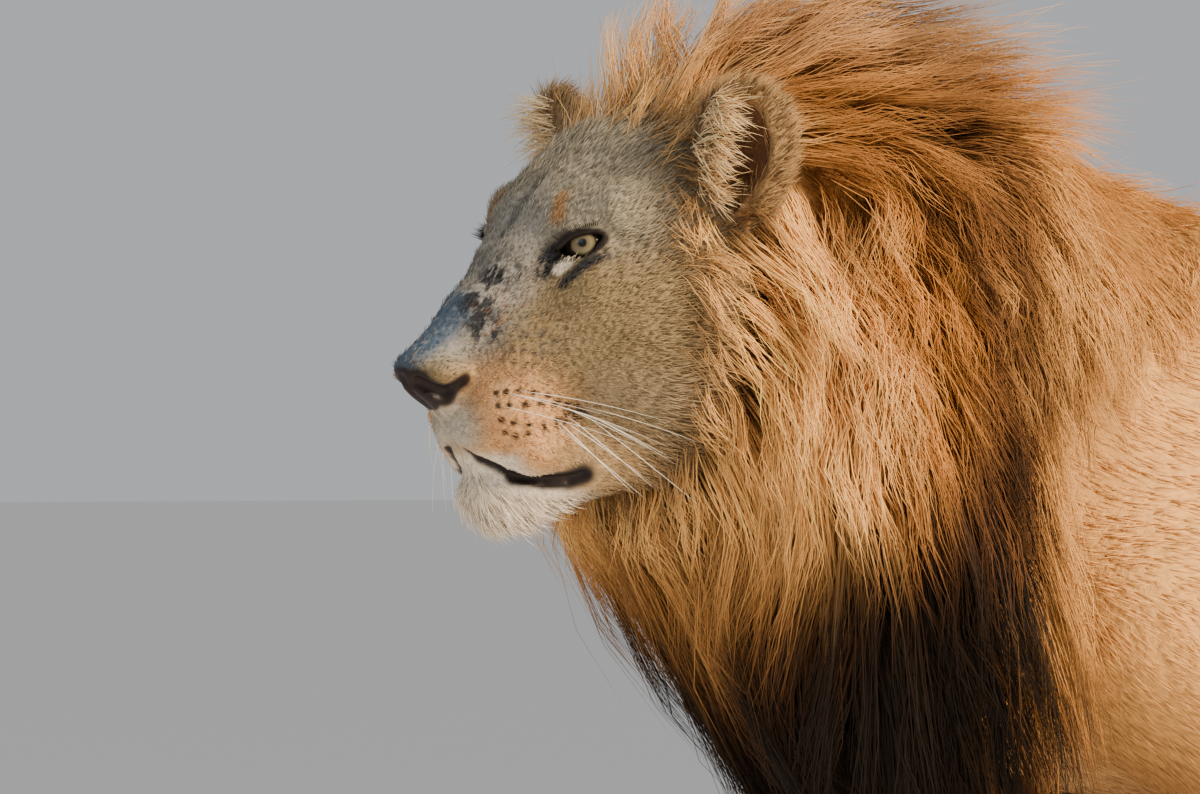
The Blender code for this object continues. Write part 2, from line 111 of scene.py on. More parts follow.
class Clay:
    """Space sampled at even steps, holding how far each point is outside the body."""

    def __init__(self, low, high, step):
        self.low = np.array(low)
        self.step = step
        counts = np.ceil((np.array(high) - self.low) / step).astype(int) + 1
        self.axes = [(self.low[i] + step * np.arange(counts[i])).astype(np.float32) for i in range(3)]
        self.field = np.full(counts, 1, np.float32)

    def window(self, low, high):
        """(slices, coordinates) of the samples in a box, or a pair of None."""
        first = np.maximum(0, np.floor((low - self.low) / self.step)).astype(int)
        last = np.minimum(self.field.shape, np.ceil((high - self.low) / self.step).astype(int) + 1)
        if (last <= first).any():
            return None, None
        cut = tuple(slice(a, b) for a, b in zip(first, last))
        x, y, z = (self.axes[i][cut[i]] for i in range(3))
        return cut, (x[:, None, None], y[None, :, None], z[None, None, :])

    def blend(self, cut, distance, soft, carve):
        """Joins a shape to the field, or carves it out, with a fillet of about soft."""
        here = self.field[cut]
        a, b = (-here, distance) if carve else (here, distance)
        h = np.clip(.5 + .5 * (b - a) / soft, 0, 1)
        joined = b + (a - b) * h - soft * h * (1 - h)
        self.field[cut] = -joined if carve else joined

    def rod(self, start, end, start_radius, end_radius, wide=1.0, soft=.02, carve=False):
        """A round-ended cone, made wide times as wide from side to side."""
        ra, rb, soft = start_radius * SIZE, end_radius * SIZE, soft * SIZE
        margin = max(ra, rb) * max(1, wide) + 1.5 * soft + 2 * self.step
        cut, grid = self.window(np.minimum(start, end) - margin, np.maximum(start, end) + margin)
        if cut is None:
            return
        squeeze = np.array((1 / wide, 1, 1))
        a, d = start * squeeze, (end - start) * squeeze
        x, y, z = grid[0] / wide - a[0], grid[1] - a[1], grid[2] - a[2]
        h = np.clip((x * d[0] + y * d[1] + z * d[2]) / max(d @ d, 1e-12), 0, 1)
        r = np.sqrt((x - h * d[0]) ** 2 + (y - h * d[1]) ** 2 + (z - h * d[2]) ** 2)
        self.blend(cut, (r - (ra + h * (rb - ra))) * min(1.0, wide), soft, carve)

    def egg(self, centre, radii, soft=.02, turn=None, carve=False):
        """An ellipsoid, whose axes are the columns of turn."""
        radii, soft = np.array(radii) * SIZE, soft * SIZE
        margin = radii.max() + 1.5 * soft + 2 * self.step
        cut, grid = self.window(centre - margin, centre + margin)
        if cut is None:
            return
        x, y, z = (grid[i] - centre[i] for i in range(3))
        if turn is not None:
            x, y, z = (turn[0, i] * x + turn[1, i] * y + turn[2, i] * z for i in range(3))
        k0 = np.sqrt((x / radii[0]) ** 2 + (y / radii[1]) ** 2 + (z / radii[2]) ** 2)
        k1 = np.sqrt((x / radii[0] ** 2) ** 2 + (y / radii[1] ** 2) ** 2 + (z / radii[2] ** 2) ** 2)
        self.blend(cut, k0 * (k0 - 1) / np.maximum(k1, 1e-6), soft, carve)

    def groove(self, points, radius, soft):
        """A channel carved along the points."""
        for start, end in zip(points[:-1], points[1:]):
            self.rod(start, end, radius, radius, soft=soft, carve=True)

    def floor(self):
        """Cuts off all that lies below the ground."""
        self.field = np.maximum(self.field, -self.axes[2][None, None, :])

    def value(self, p):
        """The field between its samples."""
        q = np.clip((p - self.low) / self.step, 0, np.array(self.field.shape) - 1.001)
        i = q.astype(int)
        t = q - i
        total = 0
        for corner in np.ndindex(2, 2, 2):
            share = np.prod(np.where(corner, t, 1 - t), axis=1)
            total = total + share * self.field[tuple((i + corner).T)]
        return total

    def outward(self, p):
        """The direction straight away from the body."""
        step = self.step * np.eye(3)
        slope = [self.value(p + step[i]) - self.value(p - step[i]) for i in range(3)]
        return unit(np.stack(slope, axis=1))

    def surface(self):
        """(points, quads) of the zero surface, one point in each cell that it crosses."""
        f, inside = self.field, self.field < 0
        cells = tuple(n - 1 for n in f.shape)
        count = np.zeros(cells, np.uint8)
        for i, j, k in np.ndindex(2, 2, 2):
            count += inside[i:cells[0] + i, j:cells[1] + j, k:cells[2] + k]
        crossed = (count > 0) & (count < 8)
        where = np.argwhere(crossed)
        index = np.full(cells, -1)
        index[crossed] = np.arange(len(where))
        total, hits = np.zeros((len(where), 3)), np.zeros((len(where), 1))
        for axis in range(3):
            sides = [o for o in range(3) if o != axis]
            for u, v in np.ndindex(2, 2):
                edge = np.zeros(3, int)
                edge[sides] = u, v
                edge_end = edge + np.eye(3, dtype=int)[axis]
                a, b = f[tuple((where + edge).T)], f[tuple((where + edge_end).T)]
                hit = (a < 0) != (b < 0)
                p = np.tile(edge.astype(float), (len(where), 1))
                p[:, axis] = np.where(hit, a / np.where(a == b, 1, a - b), 0)
                total += p * hit[:, None]
                hits += hit[:, None]
        points = self.low + self.step * (where + total / hits)
        quads = []
        for axis in range(3):
            sides = [o for o in range(3) if o != axis]
            here, there = [slice(1, -1)] * 3, [slice(1, -1)] * 3
            here[axis], there[axis] = slice(0, -1), slice(1, None)
            a, b = inside[tuple(here)], inside[tuple(there)]
            base = np.argwhere(a != b)
            base[:, sides] += 1
            turns = a[a != b] == (axis == 1)
            corners = []
            for du, dv in ((1, 1), (0, 1), (0, 0), (1, 0)):
                q = base.copy()
                q[:, sides[0]] -= du
                q[:, sides[1]] -= dv
                corners.append(index[tuple(q.T)])
            quad = np.stack(corners, axis=1)
            quad[turns] = quad[turns][:, ::-1]
            quads.append(quad)
        quads = np.concatenate(quads)
        return points, quads[(quads >= 0).all(axis=1)]


# ---------------------------------------------------------------- the body, bone by bone


def head(clay):
    """Brow line from nose to crown, cheeks, muzzle and jaw."""
    profile = ((.0355, 1.001), (.0823, 1.0366), (.131, 1.074), (.178, 1.105), (.214, 1.132), (.29, 1.135))
    brow = [at(0, back, up) for back, up in profile]
    across = ((.026, 1.0), (.031, 1.0), (.045, 1.05), (.065, 1.15), (.066, 1.15), (.086, 1.15))
    for k in range(5):
        clay.rod(brow[k], brow[k + 1], across[k][0], across[k + 1][0], across[k][1], .018)
    clay.rod(at(0, .084, .982), at(0, .155, 1.015), .034, .066, 1.2, .025)
    for s in (1, -1):
        clay.rod(at(s * .030, .107, 1.005), at(s * .066, .188, 1.03), .040, .058, 1, .03)
        clay.rod(at(s * .066, .155, 1.056), at(s * .098, .228, 1.050), .028, .038, 1, .03)
        clay.egg(at(s * .076, .215, 1.00), (.052, .072, .064), .035)
        clay.rod(at(s * .042, .137, 1.122), at(s * .074, .160, 1.130), .014, .018, 1, .020)
        clay.egg(at(s * .054, .240, 1.118), (.052, .072, .066), .03)
        clay.egg(at(s * .033, .098, .966), (.032, .040, .030), .016)
        clay.egg(at(s * .011, .066, .955), (.017, .020, .021), .012)
        clay.rod(at(s * .018, .078, .946), at(s * .037, .104, .940), .021, .026, 1, .010)
        clay.rod(at(s * .037, .104, .940), at(s * .049, .150, .953), .026, .025, 1, .010)
    clay.egg(at(0, .098, .935), (.032, .034, .030), .006)
    clay.egg(at(0, .103, .905), (.032, .035, .029), .006)
    for s in (1, -1):
        clay.rod(at(s * .018, .110, .915), at(s * .066, .225, .962), .028, .045, 1, .008)
    clay.rod(at(0, .11, .935), at(0, .22, .96), .028, .052, 1, .008)


def neck(clay):
    """From the skull down into the shoulders and throat."""
    clay.rod(at(0, .26, 1.08), at(0, .46, 1.02), .105, .145, .95, .05)
    clay.rod(at(0, .46, 1.02), at(0, .64, .96), .145, .185, .95, .05)
    clay.rod(at(0, .24, .98), at(0, .50, .88), .075, .16, .9, .05)


def under_mane(clay):
    """The plump base that the mane's long hair lies on."""
    clay.rod(at(0, .40, 1.10), at(0, .66, .985), .175, .160, .72, .05)
    clay.rod(at(0, .262, 1.185), at(0, .38, 1.225), .034, .050, 1, .05)
    clay.egg(at(0, .275, .94), (.075, .075, .062), .04)
    for s in (1, -1):
        clay.rod(at(s * .085, .48, 1.07), at(s * .095, .385, .94), .112, .112, 1, .05)
        clay.rod(at(s * .095, .385, .94), at(s * .06, .45, .82), .112, .112, 1, .05)
        clay.rod(at(s * .085, .48, 1.07), at(s * .08, .60, .98), .112, .110, 1, .05)
    clay.rod(at(0, .45, .84), at(0, .485, .735), .150, .100, 1.05, .05)
    clay.rod(at(0, .485, .76), at(0, .62, .73), .105, .085, 1.05, .05)


def trunk(clay):
    """Ribs, belly, loin, back and rump."""
    clay.rod(at(0, .66, .860), at(0, .98, .850), .230, .258, .83, .04)
    clay.egg(at(0, .58, .80), (.14, .15, .17), .04)
    clay.rod(at(0, .98, .850), at(0, 1.37, .875), .258, .200, .80, .04)
    clay.rod(at(0, 1.37, .875), at(0, 1.66, .915), .200, .165, .92, .04)
    clay.rod(at(0, .72, 1.055), at(0, .98, 1.03), .068, .070, .9, .06)
    clay.rod(at(0, .62, 1.045), at(0, .80, 1.02), .105, .085, .9, .05)
    clay.rod(at(0, .98, 1.03), at(0, 1.54, 1.015), .070, .068, 1, .05)
    clay.egg(at(0, 1.12, .755), (.155, .34, .155), .05)
    clay.egg(at(0, 1.76, .92), (.085, .09, .10), .06)
    clay.egg(at(0, 1.665, .80), (.100, .100, .145), .07)


def foreleg(clay, s):
    """Shoulder blade to wrist, on the side s. Lower joints take more of the stride."""
    step = FORE_STRIDE[s]
    point, elbow, wrist = .632, .79 + step * .2, .775 + step * .8
    clay.rod(at(s * .105, .77, 1.045), at(s * .152, point, .80), .070, .090, 1, .05)
    clay.rod(at(s * .152, point, .80), at(s * .160, elbow, .64), .090, .086, 1, .05)
    clay.egg(at(s * .146, .81 + step * .1, .77), (.066, .100, .140), .05)
    clay.rod(at(s * .156, elbow, .64), at(s * .140, wrist, .25), .082, .055, 1, .03)
    clay.egg(at(s * .157, .785 + step * .35, .51), (.062, .074, .13), .04)
    clay.egg(at(s * .156, .862 + step * .2, .63), (.036, .038, .048), .04)
    clay.rod(at(s * .140, wrist, .25), at(s * .140, .760 + step, .110), .056, .057, 1, .02)
    clay.egg(at(s * .140, .808 + step * .9, .19), (.026, .020, .032), .02)


def hindleg(clay, s):
    """Thigh to instep, on the side s. Lower joints take more of the stride."""
    step = HIND_STRIDE[s]
    thigh_end = behind_hip(s * .132, -.105 + step * .2, .645)
    clay.rod(behind_hip(s * .100, -.02, .905), thigh_end, .138, .108, 1, .04)
    clay.egg(behind_hip(s * .106, .045 + step * .1, .79), (.086, .120, .170), .07)
    knee, hock = -.125 + step * .25, .06 + step * .75
    clay.rod(behind_hip(s * .132, knee, .62), behind_hip(s * .130, hock, .36), .094, .052, 1, .04)
    clay.egg(behind_hip(s * .130, -.03 + step * .45, .52), (.056, .076, .110), .04)
    heel = .100 + step * .78
    clay.rod(behind_hip(s * .130, heel, .350), behind_hip(s * .130, heel - .025, .325), .033, .044, 1, .03)
    instep = behind_hip(s * .130, .052 + step, .105)
    clay.rod(behind_hip(s * .130, heel - .02, .335), instep, .048, .050, 1, .02)


# (share of the paw's half width, share of its half length) of each toe's tip.
TOES = ((-.70, .66), (-.25, .86), (.25, .86), (.70, .66))


def paw(clay, side, back, up, wide, length):
    """A rounded pad with four toes along its front."""
    clay.egg(at(side, back, up), (wide, length, up + .006), .03)
    for spread, reach in TOES:
        knuckle = at(side + spread * wide * .85, back - reach * length * .35, .058)
        tip = at(side + spread * wide, back - reach * length, .026)
        clay.rod(knuckle, tip, wide * .36, wide * .37, 1, .004)


def paw_places():
    """(side, back, height of the pad's middle, half width, half length) of the four paws."""
    for s in (1, -1):
        yield s * FORE_PAW[0], FORE_PAW[1] + FORE_STRIDE[s], *FORE_PAD
        yield s * HIND_PAW[0], HIP_BACK + HIND_PAW[1] + HIND_STRIDE[s], *HIND_PAD


def tail_points():
    """(place, radius) down the tail, along one smooth curve from the rump."""
    corners = np.array(TAIL_CURVE)
    points = []
    for t in np.linspace(0, 1, TAIL_BONES + 1):
        shares = np.array(((1 - t) ** 3, 3 * t * (1 - t) ** 2, 3 * t * t * (1 - t), t ** 3))
        back, up = shares @ corners
        radius = TAIL_END_RADIUS + (TAIL_ROOT_RADIUS - TAIL_END_RADIUS) * (1 - t) ** 2
        points.append((at(0, back, up), radius))
    return points


def tail(clay):
    """Tapered rods down the tail's curve."""
    points = tail_points()
    for (place, radius), (next_place, next_radius) in zip(points[:-1], points[1:]):
        clay.rod(place, next_place, radius, next_radius, 1, .012)


def body(clay):
    """The whole lion but for the fine forms of its head."""
    neck(clay)
    under_mane(clay)
    trunk(clay)
    clay.field += BLEND_SWELL
    for s in (1, -1):
        foreleg(clay, s)
        hindleg(clay, s)
    clay.field += BLEND_SWELL
    for place in paw_places():
        paw(clay, *place)
    tail(clay)
    head(clay)


# ---------------------------------------------------------------- the fine forms of the head

MOUTH = ((.004, .0446, .937), (.012, .0536, .931), (.020, .0640, .9250), (.028, .0760, .9200),
         (.035, .0900, .9160), (.043, .1120, .9140), (.049, .1310, .9160), (.052, .1420, .9210))
NOSTRIL = ((.013, .012, .990), (.021, .032, .979), (.031, .040, .990))
EAR = (.124, .250, 1.176)
EAR_OUT = 28  # degrees that the ear's opening turns away from the front


def mouth_line(s):
    """Where the lips meet, on the side s."""
    return [at(s * side, back, up) for side, back, up in MOUTH]


def settled(clay, points):
    """The points, moved straight onto the surface."""
    p = np.array(points)
    for _ in range(4):
        p = p - clay.outward(p) * clay.value(p)[:, None]
    return p


def eye_axes(s, out=LIDS_OUT):
    """(centre, outward axis, along the slit from nose to ear, up across the slit)."""
    turn = math.radians(out)
    outward = unit(np.array((s * math.sin(turn), -math.cos(turn), .06)))
    level = np.array((s * math.cos(turn), math.sin(turn), 0))
    tilt = math.radians(17)
    along = level * math.cos(tilt) + np.array((0, 0, 1)) * math.sin(tilt)
    along = unit(along - outward * (along @ outward))
    over = np.cross(along, outward)
    over = over if over[2] > 0 else -over
    return at(s * EYE[0], EYE[1], EYE[2]), outward, along, over


def eye_socket(clay, s):
    """Lids close round the ball, and an almond opening is cut through them."""
    centre, gaze, along, over = eye_axes(s)
    ball = EYE_RADIUS
    clay.egg(centre, (ball + .0035,) * 3, .010)
    upper = ((-.020, .004, .013), (-.006, .0125, .0165), (.010, .013, .0155), (.024, .004, .008))
    lower = ((-.020, -.007, .013), (-.004, -.0145, .0145), (.012, -.012, .0135), (.024, .001, .008))
    for line, thick in ((upper, .0054), (lower, .0036)):
        spots = [centre + along * a + over * b + gaze * g for a, b, g in line]
        for start, end in zip(spots[:-1], spots[1:]):
            clay.rod(start, end, thick, thick, 1, .004)
    reach = ball * SIZE + .022
    cut, grid = clay.window(centre - reach, centre + reach)
    if cut is None:
        return
    x, y, z = (grid[i] - centre[i] for i in range(3))
    a, b, g = (x * way[0] + y * way[1] + z * way[2] for way in (along, over, gaze))
    a = a + SLIT_SHIFT
    arch = np.clip(1 - (a / SLIT) ** 2, 0, 1)
    lean = .0012 * a / SLIT
    slit = np.maximum(b - lean - .0058 * arch ** .75, lean - b - .0114 * arch)
    slit = np.maximum(slit, np.abs(a) - SLIT)
    r = np.sqrt(x * x + y * y + z * z)
    slit = np.maximum(slit, r - reach)
    slit = np.maximum(slit, (ball * SIZE - .006) - r)
    slit = np.maximum(slit, -g)
    clay.blend(cut, slit, .0012, True)
    corner = centre - along * (SLIT + SLIT_SHIFT) * .95 + gaze * .0125
    middle = corner - along * .010 - over * .006 + gaze * .004
    duct = settled(clay, [corner, middle, middle - along * .010 - over * .010])
    clay.groove(list(duct), .0018, .003)


def nose_and_mouth(clay):
    """The nose pad, its nostrils and cleft, the lips and the furrow of the forehead."""
    clay.egg(at(0, .0205, 1.002), (.022, .018, .012), .006)
    clay.rod(at(0, .026, .997), at(0, .046, .973), .020, .012, 1.3, .006)
    for s in (1, -1):
        clay.egg(at(s * .026, .034, .998), (.012, .018, .010), .006)
        opening = settled(clay, [at(s * side, back, up) for side, back, up in NOSTRIL])
        clay.rod(opening[0], opening[1], .0062, .0070, soft=.003, carve=True)
        clay.rod(opening[1], opening[2], .0058, .0032, soft=.003, carve=True)
        lips = settled(clay, mouth_line(s))
        clay.groove(list(lips[:5]), .0030, .0030)
        clay.groove(list(lips[4:]), .0042, .0030)
    cleft = [at(0, .004, .994), at(0, .024, .976), at(0, .040, .962), at(0, .046, .946)]
    clay.groove(list(settled(clay, cleft)), .0018, .004)
    furrow = settled(clay, [at(0, .095, 1.110), at(0, .125, 1.155), at(0, .17, 1.195)])
    clay.groove(list(furrow), .0030, .014)


def ear_axes(s):
    """(across the ear, out of its back, up along it), as the columns of a turn."""
    out = math.radians(EAR_OUT)
    rise = unit(np.array((s * .36, -.06, .95)))
    back = -np.array((s * math.sin(out), -math.cos(out), 0))
    back = unit(back - rise * (back @ rise))
    return np.stack((np.cross(back, rise), back, rise), axis=1)


def ears(clay):
    """Rounded shells, hollowed in front, each with a deeper well and a fold."""
    for s in (1, -1):
        turn, place = ear_axes(s), at(s * EAR[0], EAR[1], EAR[2])
        clay.egg(place, (.043, .024, .056), .012, turn)
        bowl = place + turn @ np.array((0, -.023, .004)) * SIZE
        clay.egg(bowl, (.033, .032, .044), .006, turn, carve=True)
        well = place + turn @ np.array((0, -.004, -.032)) * SIZE
        clay.egg(well, (.014, .017, .018), .006, turn, carve=True)
        fold = place + turn @ np.array((s * .032, -.006, -.030)) * SIZE
        clay.egg(fold, (.008, .012, .018), .008, turn)


def fine_head(clay):
    """The whole lion, with eyes, nose, mouth and ears."""
    body(clay)
    for s in (1, -1):
        eye_socket(clay, s)
    nose_and_mouth(clay)
    ears(clay)


# ---------------------------------------------------------------- meshes


def new_mesh(name, points, faces):
    """A mesh object from arrays. Faces all have the same number of corners."""
    mesh = bpy.data.meshes.new(name)
    mesh.vertices.add(len(points))
    mesh.vertices.foreach_set("co", np.ascontiguousarray(points, np.float32).ravel())
    sides = faces.shape[1]
    mesh.loops.add(faces.size)
    mesh.loops.foreach_set("vertex_index", np.ascontiguousarray(faces, np.int32).ravel())
    mesh.polygons.add(len(faces))
    mesh.polygons.foreach_set("loop_start", np.arange(0, faces.size, sides, dtype=np.int32))
    mesh.update(calc_edges=True)
    mesh.shade_smooth()
    piece = bpy.data.objects.new(name, mesh)
    bpy.context.scene.collection.objects.link(piece)
    return piece


def part_of(clay, keep):
    """(points, quads) of the clay's surface, with only the quads whose middle passes keep."""
    points, quads = clay.surface()
    middle = points[quads].mean(axis=1)
    quads = quads[keep(middle)]
    used, quads = np.unique(quads, return_inverse=True)
    return points[used], quads.reshape(-1, 4)


def joined_skin():
    """(coarse clay, face's clay, points, quads) of the parts that make up the skin.

    The body is coarse, the back of the head and the paws are finer and the face is fine. The
    parts do not touch yet. Fur hides where they meet.
    """
    coarse = Clay(at(-.36, -.03, -.04), at(.36, 2.12, 1.34), BODY_STEP)
    body(coarse)
    coarse.floor()
    face_y, neck_y = at(0, FACE_JOIN, 0)[1], at(0, NECK_JOIN, 0)[1]
    paw_z = PAW_JOIN * SIZE
    gap = BODY_STEP * .6
    parts = [part_of(coarse, lambda m: (m[:, 1] > neck_y + gap) & (m[:, 2] > paw_z + gap))]
    rear = Clay(at(-.22, FACE_JOIN - .02, .78), at(.22, NECK_JOIN + .02, 1.32), HEAD_STEP)
    fine_head(rear)
    gap = HEAD_STEP * .6
    parts.append(part_of(rear, lambda m: (m[:, 1] < neck_y) & (m[:, 1] > face_y + gap)))
    face = Clay(at(-.20, -.02, .82), at(.20, FACE_JOIN + .02, 1.27), FACE_STEP)
    fine_head(face)
    parts.append(part_of(face, lambda m: m[:, 1] < face_y))
    for side, back, *_ in paw_places():
        low, high = at(side - .13, back - .16, -.02), at(side + .13, back + .16, PAW_JOIN + .02)
        foot = Clay(low, high, PAW_STEP)
        body(foot)
        foot.floor()
        near_side = side > 0
        parts.append(part_of(foot, lambda m: (m[:, 2] < paw_z) & ((m[:, 0] > 0) == near_side)))
    starts = np.cumsum([0] + [len(p) for p, q in parts])
    points = np.concatenate([p for p, q in parts])
    quads = np.concatenate([q + start for (p, q), start in zip(parts, starts)])
    return coarse, face, points, quads


def loops_of(shape):
    """The open rims of a mesh, each as a list of edges."""
    rims, left = [], {e for e in shape.edges if e.is_boundary}
    while left:
        rim = [left.pop()]
        for edge in rim:
            beside = {e for v in edge.verts for e in v.link_edges if e in left}
            left -= beside
            rim.extend(beside)
        rims.append(rim)
    return rims


def rim_middle(rim):
    """The mean of an open rim's corners."""
    return sum((v.co for e in rim for v in e.verts), Vector()) / (2 * len(rim))


def stitched(skin):
    """Bridges each pair of rims that face each other."""
    shape = bmesh.new()
    shape.from_mesh(skin.data)
    rims = sorted(loops_of(shape), key=len, reverse=True)
    while len(rims) > 1:
        one = rims.pop(0)
        rims.sort(key=lambda rim: (rim_middle(rim) - rim_middle(one)).length)
        other = rims.pop(0)
        bmesh.ops.bridge_loops(shape, edges=one + other)
    bmesh.ops.recalc_face_normals(shape, faces=shape.faces)
    shape.to_mesh(skin.data)
    shape.free()
    skin.data.shade_smooth()


coarse, face, skin_points, skin_quads = joined_skin()
skin = new_mesh("lion_skin", skin_points, skin_quads)
stitched(skin)
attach(skin, "root")
FLESH = sorted(set(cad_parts) - {"eye_left", "eye_right"})
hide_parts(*FLESH)


def node(tree, kind, **settings):
    """A new shader node, with some of its inputs set by name."""
    made = tree.nodes.new("ShaderNode" + kind)
    for name, value in settings.items():
        made.inputs[name.replace("_", " ")].default_value = value
    return made


def eye_paint():
    """Pupil, iris and dark rim, as rings round the ball's own +Z."""
    paint = bpy.data.materials.new("eye")
    paint.use_nodes = True
    tree = paint.node_tree
    link = tree.links.new
    shader = tree.nodes["Principled BSDF"]
    place = node(tree, "TexCoord")
    apart = node(tree, "SeparateXYZ")
    height = node(tree, "MapRange", From_Max=EYE_RADIUS * SIZE)
    rings = node(tree, "ValToRGB").color_ramp.elements
    pupil = ((0, (.030, .016, .010)), (.800, (.020, .012, .008)), (.835, (.012, .008, .006)))
    iris = ((.862, (.11, .085, .038)), (.930, (.19, .155, .075)), (.978, (.12, .095, .045)))
    stops = (*pupil, *iris, (.986, (.003, .003, .003)))
    while len(rings) < len(stops):
        rings.new(.5)
    for element, (position, colour) in zip(rings, stops):
        element.position = position
        element.color = (*colour, 1)
    link(place.outputs["Object"], apart.inputs[0])
    link(apart.outputs["Z"], height.inputs["Value"])
    link(height.outputs["Result"], tree.nodes["Color Ramp"].inputs["Fac"])
    link(tree.nodes["Color Ramp"].outputs["Color"], shader.inputs["Base Color"])
    shader.inputs["Roughness"].default_value = .10
    shader.inputs["Specular IOR Level"].default_value = .35
    shader.inputs["Coat Weight"].default_value = .10
    shader.inputs["Coat Roughness"].default_value = .03
    return paint


EYE_PAINT = eye_paint()
CORNER_LIMIT = 2000  # more than the corners of an eyeball


def face_rank(face):
    """A number from a face's own corners, so that the faces can be put in the same order each run."""
    rank = 0
    for index in sorted(corner.index for corner in face.verts):
        rank = rank * CORNER_LIMIT + index
    return rank


def eyeball(side, s):
    """A ball in its socket, turned to look a little ahead of the way the lids face."""
    centre = eye_axes(s)[0]
    gaze = Vector(eye_axes(s, GAZE_OUT[s])[1])
    shape = bmesh.new()
    bmesh.ops.create_uvsphere(shape, u_segments=48, v_segments=32, radius=EYE_RADIUS * SIZE)
    shape.verts.index_update()
    shape.faces.sort(key=face_rank)
    mesh = bpy.data.meshes.new(f"eyeball_{side}")
    shape.to_mesh(mesh)
    shape.free()
    mesh.shade_smooth()
    mesh.materials.append(EYE_PAINT)
    ball = bpy.data.objects.new(f"eyeball_{side}", mesh)
    bpy.context.scene.collection.objects.link(ball)
    ball.location = centre
    ball.rotation_euler = gaze.to_track_quat("Z", "X").to_euler()
    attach(ball, "root")
    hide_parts(f"eye_{side}")


eyeball("left", 1)
eyeball("right", -1)


# ---------------------------------------------------------------- markings


def srgb(*colour):
    """A colour as seen on a screen, 0 to 255, as linear light."""
    c = np.array(colour) / 255
    return np.where(c <= .04045, c / 12.92, ((c + .055) / 1.055) ** 2.4)


def mix(paint, colour, share):
    """The paint, gone over with a share of the colour."""
    share = np.clip(share, 0, 1)[:, None]
    return paint * (1 - share) + colour * share


def near(p, place, reach, soft=.5):
    """1 within reach of the place in lion units, 0 beyond."""
    d = np.sqrt(sum((x - middle) ** 2 for x, middle in zip(lion_units(p), place)))
    return 1 - ramp(d, reach * (1 - soft), reach * (1 + soft))


def near_line(p, line, reach, soft=.5):
    """1 within reach of a line of places in lion units, 0 beyond."""
    q = np.stack(lion_units(p), axis=1)
    best = np.full(len(p), 9.0)
    for start, end in zip(line[:-1], line[1:]):
        a, d = np.array(start), np.array(end) - np.array(start)
        h = np.clip(((q - a) @ d) / (d @ d), 0, 1)[:, None]
        best = np.minimum(best, np.linalg.norm(q - a - h * d, axis=1))
    return 1 - ramp(best, reach * (1 - soft), reach * (1 + soft))


TAN = srgb(166, 120, 70)
GOLD = srgb(214, 159, 91)
PALE = srgb(196, 160, 112)
WHITE = srgb(236, 222, 200)
FOREHEAD = srgb(176, 166, 143)
BRIDGE = srgb(164, 158, 146)
CHEEK = srgb(162, 139, 100)
LOW_CHEEK = srgb(188, 164, 126)
MUZZLE = srgb(216, 164, 112)
LIP_FUR = srgb(184, 174, 156)
DARK = srgb(34, 26, 24)
# Dark grey of the scabs, flecks and marks round the eyes, also used as painted shade in the forehead's
# furrow.
DARK_MARKS_AND_SHADE = srgb(50, 52, 58)
NOSE_BLUE = srgb(74, 90, 106)
NOSE_RED = srgb(40, 30, 31)
SPOT = srgb(146, 108, 64)
EAR_SKIN = srgb(104, 76, 56)
# The ruff's pale gold, partly its own colour and partly painted light, raised to the top of the range.
RUFF = srgb(255, 196, 118)
MANE_MID = srgb(190, 128, 62)
MANE_DARK = srgb(76, 46, 22)
MANE_BLACK = srgb(33, 23, 14)
# Painted shade: dull brown for the band where the face meets the mane.
JAW_SHADE = srgb(134, 104, 68)
LIT_MANE_TOP = srgb(216, 166, 112)
CREST = srgb(178, 120, 60)
MANE_FRONT = srgb(176, 128, 72)
FORELOCK = srgb(176, 142, 98)


def mottle(p, grain, seed=0):
    """Smooth noise from 0 to 1, with patches about grain across."""
    q = p / grain + 91.7 * seed + 1000
    i = np.floor(q)
    t = q - i
    t = t * t * (3 - 2 * t)
    total = 0
    for corner in np.ndindex(2, 2, 2):
        share = np.prod(np.where(corner, t, 1 - t), axis=1)
        spot = (i + corner) @ np.array((12.9898, 78.233, 37.719))
        total = total + share * (np.sin(spot) * 43758.5453 % 1)
    return total


def whisker_spots():
    """Rows of whisker roots on both sides of the muzzle."""
    spots = []
    for s in (1, -1):
        for row in range(4):
            for k in range(8):
                back = .062 + .0100 * k + .003 * row
                up = .982 - .0105 * row - .0010 * k + .0003 * k * k
                spots.append(at(s * (.049 + .0010 * k), back, up))
    return settled(face, spots)


SPOTS = whisker_spots()
SPOT_RADIUS = .0029


def spot_mask(p):
    """1 on the dark root of each whisker."""
    nearest = np.full(len(p), 9.0)
    close = near(p, (.05, .098, .965), .060, .2) > 0
    for spot in SPOTS:
        nearest[close] = np.minimum(nearest[close], np.linalg.norm(p[close] - spot, axis=1))
    return 1 - ramp(nearest, SPOT_RADIUS * .5, SPOT_RADIUS * 1.5)


